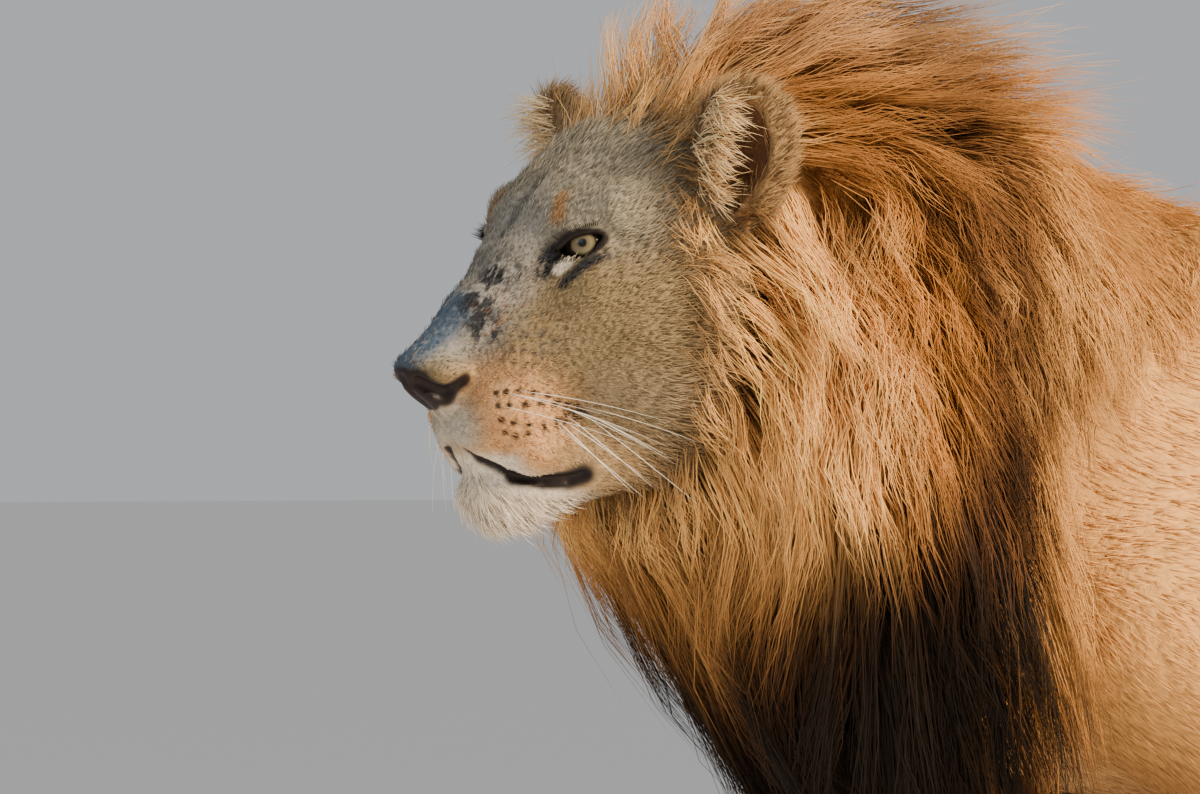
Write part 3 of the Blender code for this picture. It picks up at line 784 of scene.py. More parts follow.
def short_coat(p):
    """The colour of the short fur and of the skin under it."""
    side, back, up = lion_units(p)
    paint = np.tile(TAN, (len(p), 1))
    paint = mix(paint, GOLD, ramp(back, 1.1, .6) * ramp(up, .6, .8))
    belly = ramp(up, .70, .62) * ramp(up, .50, .58) * ramp(back, .80, .95) * ramp(back, 1.5, 1.35)
    paint = mix(paint, PALE, .8 * belly)
    paint = mix(paint, PALE, .35 * ramp(side, .14, .09) * ramp(up, .10, .20) * ramp(up, .80, .66))
    paint = mix(paint, PALE, .35 * ramp(up, .12, .03))
    paint = paint * (.93 + .14 * mottle(p * np.array((1, .5, 1)), .055, 7))[:, None]
    paint = mix(paint, CHEEK * .8, .4 * ramp(side, .07, .0) * ramp(up, .98, 1.06) * ramp(back, .7, .8))
    paint = mix(paint, CHEEK, .35 * ramp(side, .04, .01) * (back > .7) * (up > 1.02))
    paint = mix(paint, MANE_DARK * .4, ramp(back, 1.96, 2.0) * ramp(up, .42, .38))
    face_share = ramp(back, .30, .26) * (up > .82)
    paint = mix(paint, CHEEK, face_share)
    paint = mix(paint, LOW_CHEEK, face_share * ramp(up, 1.02, .97) * ramp(back, .11, .14))
    paint = mix(paint, FOREHEAD, face_share * ramp(up, 1.07, 1.12) * ramp(side, .12, .08))
    bridge = face_share * ramp(back, .14, .11) * ramp(up, .995, 1.02) * ramp(side, .060, .030)
    paint = mix(paint, BRIDGE, bridge)
    # Painted shade: the whole face is made darker by about a quarter, standing in for the shade it lies
    # in.
    paint = paint * (1 - .27 * face_share)[:, None]
    blotches = .88 + .22 * mottle(p, .016, 8)
    paint = paint * (1 + face_share * (blotches - 1))[:, None]
    # Painted shade: the rear of the cheek darker, next to the mane.
    jaw = ramp(back, .165, .225) * ramp(up, 1.18, 1.12) * ramp(side, .05, .08) * face_share
    paint = mix(paint, JAW_SHADE, .75 * jaw)
    # Painted shade: a dark grey-brown patch on the temple, in front of the ear.
    paint = mix(paint, FOREHEAD * .42, .75 * near(p, SHADED_TEMPLE, .046, .8) * face_share)
    paint = paint * (1 - .20 * near(p, (.045, .085, 1.010), .034, .7))[:, None]
    paint = mix(paint, MUZZLE, .95 * near(p, (.046, .082, .957), .046, .6))
    paint = mix(paint, LIP_FUR, near(p, (.014, .040, .952), .024, .6))
    chin = ramp(up, .938, .926) * ramp(up, .80, .84) * ramp(back, .17, .14) * face_share
    paint = mix(paint, WHITE, chin * ramp(side, .060, .045))
    paint = mix(paint, PALE, .6 * near(p, (.06, .165, .930), .035, .6))
    grain = mottle(p, .0040, 1)
    worn = near_line(p, ((.0, .008, 1.008), (.006, .030, 1.034), (.010, .050, 1.048)), .019, .4)
    paint = mix(paint, NOSE_BLUE, .95 * worn * ramp(grain, .0, .40))
    scabs = np.maximum(near_line(p, SCABS, .015, .6), .6 * near_line(p, LESS_SCABS, .012, .6))
    paint = mix(paint, DARK_MARKS_AND_SHADE * .6, .95 * scabs * ramp(grain * .6 + mottle(p, .011, 2) * .5, .48, .58))
    rusty = near(p, (.042, .085, 1.030), .034, .6) * ramp(mottle(p, .005, 3), .55, .8)
    paint = mix(paint, SPOT * .8, .45 * rusty)
    flecks = near(p, FLECKED, .030, .6) * ramp(mottle(p, .0034, 5), .54, .68)
    paint = mix(paint, DARK_MARKS_AND_SHADE, .55 * flecks)
    dusky = mottle(p, .009, 4) * .5 + grain * .5
    for row, colour, reach, share, patchy in EYE_MARKS:
        broken = 1 - patchy * ramp(dusky, .52, .24)
        paint = mix(paint, colour, share * near_line(p, row, reach, .5) * broken)
    paint = mix(paint, SPOT, .85 * near_line(p, BROW_SPOT, .0066, .7))
    # Painted shade along the crease of the forehead's furrow.
    paint = mix(paint, DARK_MARKS_AND_SHADE, .34 * near_line(p, FURROW_SHADE_LINE, .0050, .7) * face_share)
    paint = mix(paint, DARK, .95 * spot_mask(p))
    ears_here = ear_mask(p)
    paint = mix(paint, SPOT, .5 * ears_here)
    paint = mix(paint, EAR_SKIN, ears_here * inner_ear(p))
    paint = mix(paint, DARK, ears_here * ear_back(p))
    return paint


def on_skin(row):
    """The same places, moved onto the face's surface."""
    spots = settled(face, [at(*spot) for spot in row])
    return [(abs(p[0]) / SIZE, p[1] / SIZE + NOSE_TO_CENTRE, p[2] / SIZE) for p in spots]


# The forehead's furrow, along which painted shade lies.
FURROW_SHADE_LINE = on_skin(((0, .150, 1.178), (0, .125, 1.155), (0, .098, 1.110), (0, .085, 1.085)))
# (line, colour, reach, share, how broken up) of the marks round the eye.
EYE_MARKS = (
    (on_skin(((.044, .121, 1.091), (.040, .1155, 1.082))), DARK_MARKS_AND_SHADE * .50, .0110, 1.0, .5),
    (on_skin(((.052, .122, 1.0785), (.060, .136, 1.084), (.068, .150, 1.092))), WHITE, .0050, .95, 0),
    (on_skin(((.060, .1265, 1.064), (.064, .1325, 1.067), (.068, .1404, 1.077), (.072, .152, 1.083))),
     DARK_MARKS_AND_SHADE * .7, .0056, .95, 1),
)
FLECKED = on_skin(((.050, .098, 1.016),))[0]
# Where painted shade lies on the temple, in front of the ear.
SHADED_TEMPLE = on_skin(((.095, .215, 1.135),))[0]
SCABS = on_skin(((.022, .082, 1.078), (.022, .060, 1.056), (.034, .062, 1.032)))
LESS_SCABS = on_skin(((.028, .092, 1.078), (.036, .108, 1.080)))
BROW_SPOT = on_skin(((.050, .120, 1.122), (.047, .124, 1.142)))
LIPS = on_skin(MOUTH)


def bare_mask(p):
    """Hairless skin: the nose pad, the lips and the rims of the eyes."""
    side, back, up = lion_units(p)
    pad = np.sqrt((side / .024) ** 2 + ((back - .020) / .026) ** 2 + ((up - .986) / .0225) ** 2)
    pad = (1 - ramp(pad, .92, 1.06)) * (1 - ramp(side, .014, .019) * ramp(up, .988, .993))
    nostril = np.maximum(near_line(p, NOSTRIL[:2], .0130, .25), near_line(p, NOSTRIL[1:], .0106, .25))
    nose = np.maximum(pad, nostril) * ramp(up, .963, .968)
    # The lips grow wider towards the corners of the mouth: (first place, reach, softness).
    wider = ((1, .0040, .3), (2, .0064, .5), (4, .0098, .3), (6, .0112, .4))
    lips = np.max([near_line(p, LIPS[k:], reach, soft) for k, reach, soft in wider], axis=0)
    return np.clip(np.maximum(np.maximum(nose, lips), eye_rim(p)), 0, 1)


def eye_rim(p):
    """1 on the bare rims of the lids and in the corners of the eyes."""
    total = np.zeros(len(p))
    for s in (1, -1):
        centre, gaze, along, over = eye_axes(s)
        q = p - centre
        a, b, g = q @ along, q @ over, q @ gaze
        tall = np.where(b > 0, .0132, .0116)
        reach = np.sqrt(((a + SLIT_SHIFT) / (SLIT + .0050)) ** 2 + ((b + .001) / tall) ** 2)
        total = np.maximum(total, (1 - ramp(reach, .92, 1.12)) * (g > 0))
    return total


def ear_places(p):
    """Points in the ears' own axes: (across, out of the back, up), for the nearer ear."""
    s = np.where(p[:, 0] >= 0, 1, -1)
    q = np.empty_like(p)
    for sign in (1, -1):
        mine = s == sign
        q[mine] = (p[mine] - at(sign * EAR[0], EAR[1], EAR[2])) @ ear_axes(sign) / SIZE
        q[mine, 0] *= sign
    return q


def ear_mask(p):
    """1 on the ears and close round their openings."""
    q = ear_places(p)
    reach = np.sqrt((q[:, 0] / .050) ** 2 + (q[:, 1] / .034) ** 2 + (q[:, 2] / .064) ** 2)
    return 1 - ramp(reach, .92, 1.08)


def inner_ear(p):
    """1 inside the hollow of the ear."""
    q = ear_places(p)
    reach = np.sqrt((q[:, 0] / .034) ** 2 + ((q[:, 2] - .004) / .046) ** 2)
    return (1 - ramp(reach, .80, 1.0)) * (q[:, 1] < .016)


def ear_back(p):
    """1 on the dark back of the ear."""
    q = ear_places(p)
    return ramp(q[:, 1], .008, .016) * ramp(q[:, 2], -.03, -.01) * ramp(q[:, 2], .055, .040)


# ---------------------------------------------------------------- where the coat grows


def column(items, field, width, kind=np.float32):
    """One field of a mesh's items, as rows of an array."""
    values = np.empty(len(items) * width, kind)
    items.foreach_get(field, values)
    return values.reshape(-1, width)


def nearest_of(spots, places):
    """For each place, which of the spots is nearest."""
    tree = KDTree(len(spots))
    for k, spot in enumerate(spots):
        tree.insert(spot, k)
    tree.balance()
    return np.array([tree.find(place)[1] for place in places])


class Ground:
    """The skin as arrays: triangles, their corners on the unwrap, and their areas."""

    def __init__(self, skin):
        mesh = skin.data
        mesh.calc_loop_triangles()
        self.points = column(mesh.vertices, "co", 3).astype(float)
        self.normals = column(mesh.vertices, "normal", 3).astype(float)
        self.corners = column(mesh.loop_triangles, "vertices", 3, np.int32)
        loops = column(mesh.loop_triangles, "loops", 3, np.int32)
        self.uv = column(mesh.uv_layers["OFBake"].data, "uv", 2)[loops]
        a, b, c = (self.points[self.corners[:, i]] for i in range(3))
        self.area = np.linalg.norm(np.cross(b - a, c - a), axis=1) / 2
        self.middle = (a + b + c) / 3

    def scatter(self, density):
        """Roots on the skin, density(places) of them per square metre: (places, normals, unwrap)."""
        weight = self.area * density(self.middle)
        pick = rng.choice(len(weight), int(weight.sum()), p=weight / weight.sum())
        u, v = rng.random((2, len(pick)))
        flip = u + v > 1
        u, v = np.where(flip, 1 - u, u), np.where(flip, 1 - v, v)
        share = np.stack((1 - u - v, u, v), axis=1)[:, :, None]
        place = (self.points[self.corners[pick]] * share).sum(axis=1)
        normal = unit((self.normals[self.corners[pick]] * share).sum(axis=1))
        return place, normal, (self.uv[pick] * share).sum(axis=1)


def mane_mask(p):
    """1 where long hair grows."""
    side, back, up = lion_units(p)
    front = .186 - .006 * ramp(up, 1.15, 1.20) - .016 * ramp(up, .93, .89)
    rear = .80 - .31 * ramp(up, 1.10, .98) + .18 * ramp(side, .11, .05) * ramp(up, .86, .74)
    low = ramp(up, .56, .66)
    within_edges = ramp(back, front - .012, front + .040) * ramp(back, rear + .03, rear - .03)
    return within_edges * low * (1 - ear_mask(p))


def eye_gap(p):
    """1 over the openings of the eyes."""
    total = np.zeros(len(p))
    for s in (1, -1):
        centre, gaze, along, over = eye_axes(s)
        q = p - centre
        reach = np.sqrt(((q @ along + SLIT_SHIFT) / (SLIT + .004)) ** 2 + ((q @ over) / .0130) ** 2)
        total = np.maximum(total, (reach < 1) * (q @ gaze > 0))
    return total


# ---------------------------------------------------------------- hair as solid, tapered spikes

FLATNESS = .7  # a hair's thickness, as a share of its width
PATCH_RADIUS = .0015  # how far the unwrap of a hair reaches from its root, on the skin's unwrap


def frames(paths, across):
    """Two unit vectors at each point of the paths, square to the path and to each other."""
    along = np.empty_like(paths)
    along[:, 1:-1] = paths[:, 2:] - paths[:, :-2]
    along[:, 0] = paths[:, 1] - paths[:, 0]
    along[:, -1] = paths[:, -1] - paths[:, -2]
    along = unit(along)
    a = unit(np.cross(along, across[:, None, :]) + 1e-6)
    return a, np.cross(along, a)


def hair(name, paths, radii, paints, uv, across, slot_name, paint_material, nodes=()):
    """One mesh of closed three-sided spikes. Paths are (strand, point, xyz), with the tip last."""
    strands, points = paths.shape[:2]
    rings = points - 1
    turns = math.pi / 2 + np.arange(3) * 2 * math.pi / 3
    a, b = (way[:, :-1, None, :] for way in frames(paths, across))
    spokes = np.cos(turns)[:, None] * a + FLATNESS * np.sin(turns)[:, None] * b
    ring = paths[:, :-1, None, :] + radii[:, :-1, None, None] * spokes
    verts = np.concatenate((ring.reshape(strands, -1, 3), paths[:, -1:, :]), axis=1)
    each = verts.shape[1]
    faces = [(0, 2, 1)]
    for k in range(rings - 1):
        for j in range(3):
            n = (j + 1) % 3
            faces.append((3 * k + j, 3 * k + n, 3 * k + 3 + n))
            faces.append((3 * k + j, 3 * k + 3 + n, 3 * k + 3 + j))
    for j in range(3):
        faces.append((3 * rings - 3 + j, 3 * rings - 3 + (j + 1) % 3, 3 * rings))
    faces = (np.array(faces)[None] + each * np.arange(strands)[:, None, None]).reshape(-1, 3)
    piece = new_mesh(name, verts.reshape(-1, 3), faces)
    tint = np.ones((strands, each, 4), np.float32)
    tint[:, :-1, :3] = np.repeat(paints[:, :-1], 3, axis=1)
    tint[:, -1, :3] = paints[:, -1]
    piece.data.attributes.new("tint", "FLOAT_COLOR", "POINT").data.foreach_set("color", tint.ravel())
    shrink = np.repeat(1 - np.arange(rings) / rings, 3)
    angle = np.tile(turns, rings)
    patch = PATCH_RADIUS * np.stack((np.cos(angle) * shrink, np.sin(angle) * shrink), axis=1)
    patch = np.concatenate((patch, np.zeros((1, 2))))
    vertex_uv = (uv[:, None, :] + patch[None]).reshape(-1, 2)
    layer = piece.data.uv_layers.new(name="OFBake")
    layer.data.foreach_set("uv", vertex_uv[faces.ravel()].astype(np.float32).ravel())
    piece.data.materials.append(paint_material)
    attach(piece, "root")
    if nodes:
        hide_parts(*nodes)


def hair_pieces(name, pieces, order, paths, radii, paints, uv, across, *rest):
    """Hair shared out over several meshes, along the given order of its strands."""
    for k, some in enumerate(np.array_split(order, pieces)):
        hair(f"{name}_{k + 1}", paths[some], radii[some], paints[some], uv[some], across[some], *rest)


def taper(count, base):
    """Radii along each strand: nearly full to the middle, then thinning to the tip."""
    t = np.linspace(0, 1, count)
    shape = np.minimum(1, 1.25 * (1 - t) ** .7)
    shape[0] *= .7
    return base[:, None] * shape[None]


# Noise cells per metre along side, back and up: fewest along the way the fur lies.
STREAKS_ALONG_BODY = (330, 38, 210)
STREAKS_DOWN_LEGS = (330, 330, 30)


def coat_material(name, roughness, specular):
    """A paint that takes its colour from each piece's own tint."""
    paint = bpy.data.materials.new(name)
    paint.use_nodes = True
    shader = paint.node_tree.nodes["Principled BSDF"]
    tint = paint.node_tree.nodes.new("ShaderNodeAttribute")
    tint.attribute_name = "tint"
    paint.node_tree.links.new(tint.outputs["Color"], shader.inputs["Base Color"])
    shader.inputs["Roughness"].default_value = roughness
    shader.inputs["Specular IOR Level"].default_value = specular
    return paint


def hide_material():
    """The skin: its own tint, broken up and raised by streaks that run the way the fur lies."""
    paint = coat_material("hide", .78, .15)
    tree = paint.node_tree
    link = tree.links.new
    shader = tree.nodes["Principled BSDF"]
    place = node(tree, "TexCoord")
    leg, bald = node(tree, "Attribute"), node(tree, "Attribute")
    leg.attribute_name, bald.attribute_name = "legs", "bare"
    streaks = node(tree, "Mix")
    link(leg.outputs["Fac"], streaks.inputs[0])
    for k, scale in enumerate((STREAKS_ALONG_BODY, STREAKS_DOWN_LEGS)):
        stretch = node(tree, "Mapping", Scale=scale)
        noise = node(tree, "TexNoise", Scale=1.0, Detail=3.0)
        link(place.outputs["Object"], stretch.inputs["Vector"])
        link(stretch.outputs["Vector"], noise.inputs["Vector"])
        link(noise.outputs["Fac"], streaks.inputs[2 + k])
    furred = node(tree, "MapRange", To_Min=.55, To_Max=0)
    raised = node(tree, "Bump", Distance=.004)
    link(bald.outputs["Fac"], furred.inputs["Value"])
    link(furred.outputs["Result"], raised.inputs["Strength"])
    link(streaks.outputs[0], raised.inputs["Height"])
    link(raised.outputs["Normal"], shader.inputs["Normal"])
    shade = node(tree, "MapRange", From_Min=.3, From_Max=.7, To_Min=.72, To_Max=1.06)
    tinted = node(tree, "VectorMath")
    tinted.operation = "SCALE"
    link(streaks.outputs[0], shade.inputs["Value"])
    link(tree.nodes["Attribute"].outputs["Color"], tinted.inputs[0])
    link(shade.outputs["Result"], tinted.inputs["Scale"])
    link(tinted.outputs["Vector"], shader.inputs["Base Color"])
    gloss = node(tree, "MapRange", To_Min=.78, To_Max=.42)
    link(bald.outputs["Fac"], gloss.inputs["Value"])
    link(gloss.outputs["Result"], shader.inputs["Roughness"])
    return paint


FUR = coat_material("fur", .72, .15)
HORN = coat_material("horn", .35, .5)


# ---------------------------------------------------------------- the mane

MANE_GUIDES = 2300  # locks per square metre of skin, each with a hair of its own to follow
MANE_DENSITY = 46000  # hairs per square metre
MANE_POINTS = 5  # on each hair
MANE_PER_PIECE = 6900  # hairs, at most
WAVE_LENGTH = .115
CHIN_UP = .905

# Metres that no hair of the mane goes beyond, to either side and upwards.
MANE_HALF_WIDTH = .300
MANE_TOP_UP = 1.450


def mane_flow(p):
    """The way the long hair falls."""
    s = np.sign(p[:, 0])
    back, up = lion_units(p)[1:]
    crest = ramp(up, 1.12, 1.24)
    fore = crest * ramp(back, .30, .22)
    ruff = ramp(back, .34, .24) * (1 - crest)
    x = s * (.06 + .25 * crest + .20 * ruff * ramp(up, .95, 1.05))
    y = .12 + .83 * crest - .45 * fore + .30 * ruff * ramp(up, .90, 1.10)
    y = y + .26 * ramp(up, 1.0, .86) * ramp(back, .36, .22)
    z = -1 + 1.02 * crest + .95 * fore
    return unit(np.stack((x, y, z), axis=1))


def mane_length(p):
    """How long the hair grows that has its root here."""
    back, up = lion_units(p)[1:]
    long = .135 + .12 * ramp(up, 1.06, .84)
    long = long - .06 * ramp(back, .46, .62) * ramp(up, .78, .90)
    long = np.where(up > 1.16, .120 + .03 * ramp(back, .25, .35), long)
    grown = .17 + .83 * ramp(back, .170, .275 - .025 * ramp(up, 1.15, 1.2))
    return long * grown


def chest_front(side, up):
    """How far back the front of the mane lies below the chin."""
    return .168 + .74 * (CHIN_UP - up) + .05 * ramp(up, .87, .78) + .60 * np.maximum(side - .03, 0)


def mane_depth(p):
    """How far the outer hair stands off the skin."""
    back, up = lion_units(p)[1:]
    depth = .052 * ramp(back, .175, .285)
    return .008 + depth * ramp(back, .60, .42) + .020 * ramp(up, 1.16, 1.24) * ramp(back, .50, .40)


def mane_paint(p, strand_noise):
    """Colour at a place of the mane."""
    back, up = lion_units(p)[1:]
    wave = .018 * strand_noise
    high = back + wave
    above = .05 * ramp(up, 1.06, 1.14)
    rear = ramp(high - above, .445, .515)
    lower = (.12 * ramp(back, .24, .32) + .09 * ramp(back, .32, .38) - .05) * (1 - rear)
    paint = np.tile(MANE_MID, (len(p), 1))
    paint = mix(paint, RUFF, ramp(high, .375, .285) * ramp(up, .79, .88))
    # Painted light on top of the ruff's own pale colour: its front lobe is made brighter, where it catches
    # the light.
    bright = ramp(high, .31, .27) * ramp(up, .84, .90) * ramp(up, 1.12, 1.06)
    paint = mix(paint, RUFF, bright)
    paint = mix(paint, CREST, ramp(up + .6 * (high - .38), 1.08, 1.15) * ramp(high, .25, .31))
    line = .375 + .075 * ramp(up, .76, .98)
    dark = np.exp(-((high - line) / (.036 + .034 * ramp(up, 1.0, .80))) ** 2)
    paint = mix(paint, MANE_DARK, dark * ramp(up, 1.19, 1.10) * .95)
    # Painted light: the hair at the top of the mane is lighter, where light falls on it.
    paint = mix(paint, LIT_MANE_TOP, ramp(up, 1.22, 1.29) * .8)
    crest_back = ramp(up, 1.11, 1.18) * ramp(high, .38, .44) * ramp(high, .60, .52)
    paint = mix(paint, MANE_DARK, .60 * crest_back)
    front = ramp(up + wave, .89, .80) * ramp(back, .32, .24)
    paint = mix(paint, MANE_FRONT, front)
    paint = mix(paint, MANE_DARK, ramp(up + 2.2 * wave - lower, .82, .70) * .80 * (1 - .6 * rear))
    black = ramp(up + 3 * wave - lower, .76, .64) * (1 - rear * ramp(up, .70, .78))
    paint = mix(paint, MANE_BLACK, black)
    paint = mix(paint, GOLD, rear * ramp(up, .72, .80) * ramp(up, 1.25, 1.15))
    paint = mix(paint, FORELOCK, .8 * ramp(up, 1.15, 1.20) * ramp(high, .27, .21))
    # Painted shade: the front edge of the mane darker, next to the face.
    paint = mix(paint, JAW_SHADE, .9 * ramp(back + .6 * wave, .232, .195) * ramp(up, 1.20, 1.15))
    return paint


def within(x, limit, soft=.03):
    """Draws in what comes near the limit, so that it never passes it."""
    over = np.maximum(np.abs(x) - (limit - soft), 0)
    return np.where(over > 0, np.sign(x) * (limit - soft + soft * np.tanh(over / soft)), x)


def march(place, normal, length, layer):
    """Paths that leave the skin, bend into the flow and lie at their own layer's height."""
    steps = MANE_POINTS - 1
    paths = np.empty((len(place), MANE_POINTS, 3))
    paths[:, 0] = place
    back, up = lion_units(place)[1:]
    stand = .75 - .50 * ramp(up, 1.10, 1.20) * ramp(back, .42, .56)
    heading = unit(mane_flow(place) + stand[:, None] * normal)
    for k in range(steps):
        paths[:, k + 1] = paths[:, k] + heading * (length / steps)[:, None]
        height = layer * mane_depth(paths[:, k + 1]) * min(1, .45 + .3 * k)
        side, back, up = lion_units(paths[:, k + 1])
        behind = (chest_front(side, up) + .03 * (1 - layer) - back) * (up < CHIN_UP)
        behind = np.maximum(behind, 0)
        inward = np.minimum(.8 * behind, np.maximum(side - .03, 0))
        paths[:, k + 1, 0] -= SIZE * inward * np.sign(paths[:, k + 1, 0])
        paths[:, k + 1, 1] += SIZE * (behind - .6 * inward)
        gap = height - coarse.value(paths[:, k + 1])
        paths[:, k + 1] += coarse.outward(paths[:, k + 1]) * np.maximum(gap, 0)[:, None]
        heading = unit(.5 * unit(paths[:, k + 1] - paths[:, k]) + .6 * mane_flow(paths[:, k + 1]))
    return paths


def mane(ground):
    """Locks of long hair. Each hair starts at its own root and joins the nearest guide on its way."""
    guide_place, guide_normal, _ = ground.scatter(lambda m: MANE_GUIDES * mane_mask(m))
    count = len(guide_place)
    layer = rng.uniform(.15, 1, count) ** .7
    length = mane_length(guide_place) * rng.uniform(.75, 1.12, count)
    guides = march(guide_place, guide_normal, length, layer)
    sway = rng.uniform(-1, 1, (count, 3))
    t = np.linspace(0, 1, MANE_POINTS)

    place, normal, uv = ground.scatter(lambda m: MANE_DENSITY * mane_mask(m))
    home = nearest_of(guide_place, place)
    shape = guides[home] - guide_place[home][:, None]
    strands = len(place)
    stretch = rng.uniform(.72, 1.08, strands)
    shape = shape * stretch[:, None, None]
    apart = place - guide_place[home]
    clump = rng.uniform(.45, .88, count)[home][:, None] * t[None] ** .9
    paths = guide_place[home][:, None] + shape + apart[:, None] * (1 - clump)[:, :, None]
    along = unit(paths[:, -1] - paths[:, 0])
    across = unit(np.cross(along, normal) + 1e-6)
    amp = (.009 * (1 + .6 * sway[:, 0]))[home] + .0030 * rng.normal(0, 1, strands)
    phase = (3 * sway[:, 1])[home] + rng.normal(0, .45, strands)
    span = length[home] * stretch
    wave = amp[:, None] * np.sin(phase[:, None] + 2 * math.pi * span[:, None] * t[None] / WAVE_LENGTH)
    wave = wave - wave[:, :1]
    paths += across[:, None] * (wave * t[None] ** .5)[:, :, None]
    lift = rng.normal(0, .006, strands)[:, None] * t[None]
    fly = (rng.random(strands) < .07) * rng.uniform(.01, .035, strands)
    paths += normal[:, None] * (lift + fly[:, None] * t[None] ** 2)[:, :, None]
    stray = rng.normal(0, .006, (strands, 3))
    paths += stray[:, None] * (t ** 1.3)[None, :, None]
    flat = paths.reshape(-1, 3)
    flat[:, 0] = within(flat[:, 0], MANE_HALF_WIDTH)
    flat[:, 2] = within(flat[:, 2], MANE_TOP_UP)
    gap = .002 - coarse.value(flat)
    flat = flat + coarse.outward(flat) * np.maximum(gap, 0)[:, None] * np.tile(t > 0, strands)[:, None]
    paths = flat.reshape(paths.shape)

    tone = rng.normal(0, 1, count)[home]
    bright = 1 + .10 * tone + .07 * rng.normal(0, 1, strands)
    grown = paths.reshape(-1, 3)
    paints = mane_paint(grown, np.repeat(tone, MANE_POINTS)).reshape(paths.shape)
    # Painted shade: each hair darker towards its root, and the layers lying nearer the skin darker, deep
    # in the mane.
    root_painted_shade = .72 + .28 * ramp(t, 0, .40)
    inner = .80 + .20 * layer[home]
    paints = np.clip(paints * (bright * inner)[:, None, None] * root_painted_shade[None, :, None], .002, .95)
    base = rng.uniform(.00050, .00080, strands) * (.75 + .25 * ramp(span, .05, .12))
    radii = taper(MANE_POINTS, base)
    order = np.argsort(place[:, 1] + .9 * np.abs(place[:, 2] - 1.0) * np.sign(place[:, 0]))
    pieces = math.ceil(strands / MANE_PER_PIECE)
    nodes = ("mane_crest", "mane_left", "mane_right", "mane_chest")
    hair_pieces("mane", pieces, order, paths, radii, paints, uv, normal, "mane", FUR, nodes)


# ---------------------------------------------------------------- the short coat

# Tufts per square metre of skin.
FACE_DENSITY = 132000
BODY_DENSITY = 5600
TUFT_POINTS = 3  # on each tuft


def lie(p):
    """The way the short fur lies."""
    back, up = lion_units(p)[1:]
    face = ramp(back, .36, .30) * ramp(up, .80, .84)
    muzzle = at(0, .02, .985)
    away = unit(p - muzzle)
    away[:, 1] += .55
    away[:, 2] += .25 * ramp(up, 1.04, 1.10) - .35 * ramp(up, .95, .91)
    way = np.tile((0, 1, -.35), (len(p), 1))
    legs, toes, tail_end = ramp(up, .66, .52), ramp(up, .14, .08), ramp(back, 1.86, 1.90)
    for turned, share in (((0, .25, -1), legs), ((0, -1, -.35), toes), ((0, .25, -1), tail_end)):
        way = mix(way, np.array(turned), share)
    return unit(mix(way, unit(away), face))


def tufts(place, normal, length, lift, spread):
    """Short spikes that rise from the skin and lie over along the coat."""
    way = lie(place)
    way = unit(way - normal * (way * normal).sum(axis=1, keepdims=True))
    way = unit(way + spread * rng.normal(0, 1, way.shape))
    t = np.linspace(0, 1, TUFT_POINTS)
    rise = lift[:, None] * np.sin(t * math.pi * .62)[None]
    paths = place[:, None] + (way * length[:, None])[:, None] * t[None, :, None]
    paths += normal[:, None] * (rise * length[:, None])[:, :, None]
    paths -= normal[:, None] * (.0004 * (t == 0))[None, :, None]
    return paths


def short_paints(place, noise, root_shade):
    """The markings' colour for each tuft, lighter or darker by noise, shaded at its root."""
    t = np.linspace(0, 1, TUFT_POINTS)
    paints = short_coat(place)[:, None] * (1 + noise)[:, None, None]
    shade = root_shade + (1 - root_shade) * ramp(t, 0, .7)
    return np.clip(paints * shade[None, :, None], .002, .95)


def face_fur(ground):
    """Fine fur on the head, longest at the chin and towards the mane."""
    def density(m):
        side, back, up = lion_units(m)
        here = ramp(back, .30, .27) * (up > .84) * (1 - ramp(bare_mask(m), .3, .6)) * (1 - eye_gap(m))
        worn = ramp(back, .085, .045) * ramp(up, 1.0, 1.02) * ramp(side, .03, .02)
        ear = ear_mask(m)
        here = here * (1 + .45 * ramp(back, .12, .18))
        return FACE_DENSITY * here * (1 - ear * inner_ear(m)) * (1 - .3 * ear) * (1 - .75 * worn)

    place, normal, uv = ground.scatter(density)
    side, back, up = lion_units(place)
    long = .0070 + .006 * ramp(back, .11, .20) + .005 * ramp(up, 1.12, 1.20)
    long = long + .022 * near(place, (0, .105, .882), .050, .5) - .0016 * near(place, (.03, .06, .98), .06)
    long = long + .014 * ramp(back, .155, .20) * ramp(up, 1.16, 1.0)
    long = long * (1 - .85 * near_line(place, LIPS, .014, .5))
    long = long + .006 * ear_mask(place)
    long = long * rng.uniform(.75, 1.25, len(place))
    lift = rng.uniform(.12, .30, len(place)) * (1 - .4 * ramp(back, .14, .19))
    paths = tufts(place, normal, long, lift, .16)
    noise = .09 * rng.normal(0, 1, len(place))
    paints = short_paints(place, noise, .95)
    radii = taper(TUFT_POINTS, rng.uniform(.00032, .00055, len(place)) * (1 + 12 * (long - .006)))
    order = np.argsort(place[:, 0])
    hair_pieces("face_fur", 3, order, paths, radii, paints, uv, normal, "face_fur", FUR, ("head", "jaw"))


def shoulder_mask(p):
    """1 on the shoulder and in front of it, above the elbow."""
    back, up = lion_units(p)[1:]
    return ramp(back, .95, .70) * ramp(up, .50, .60)


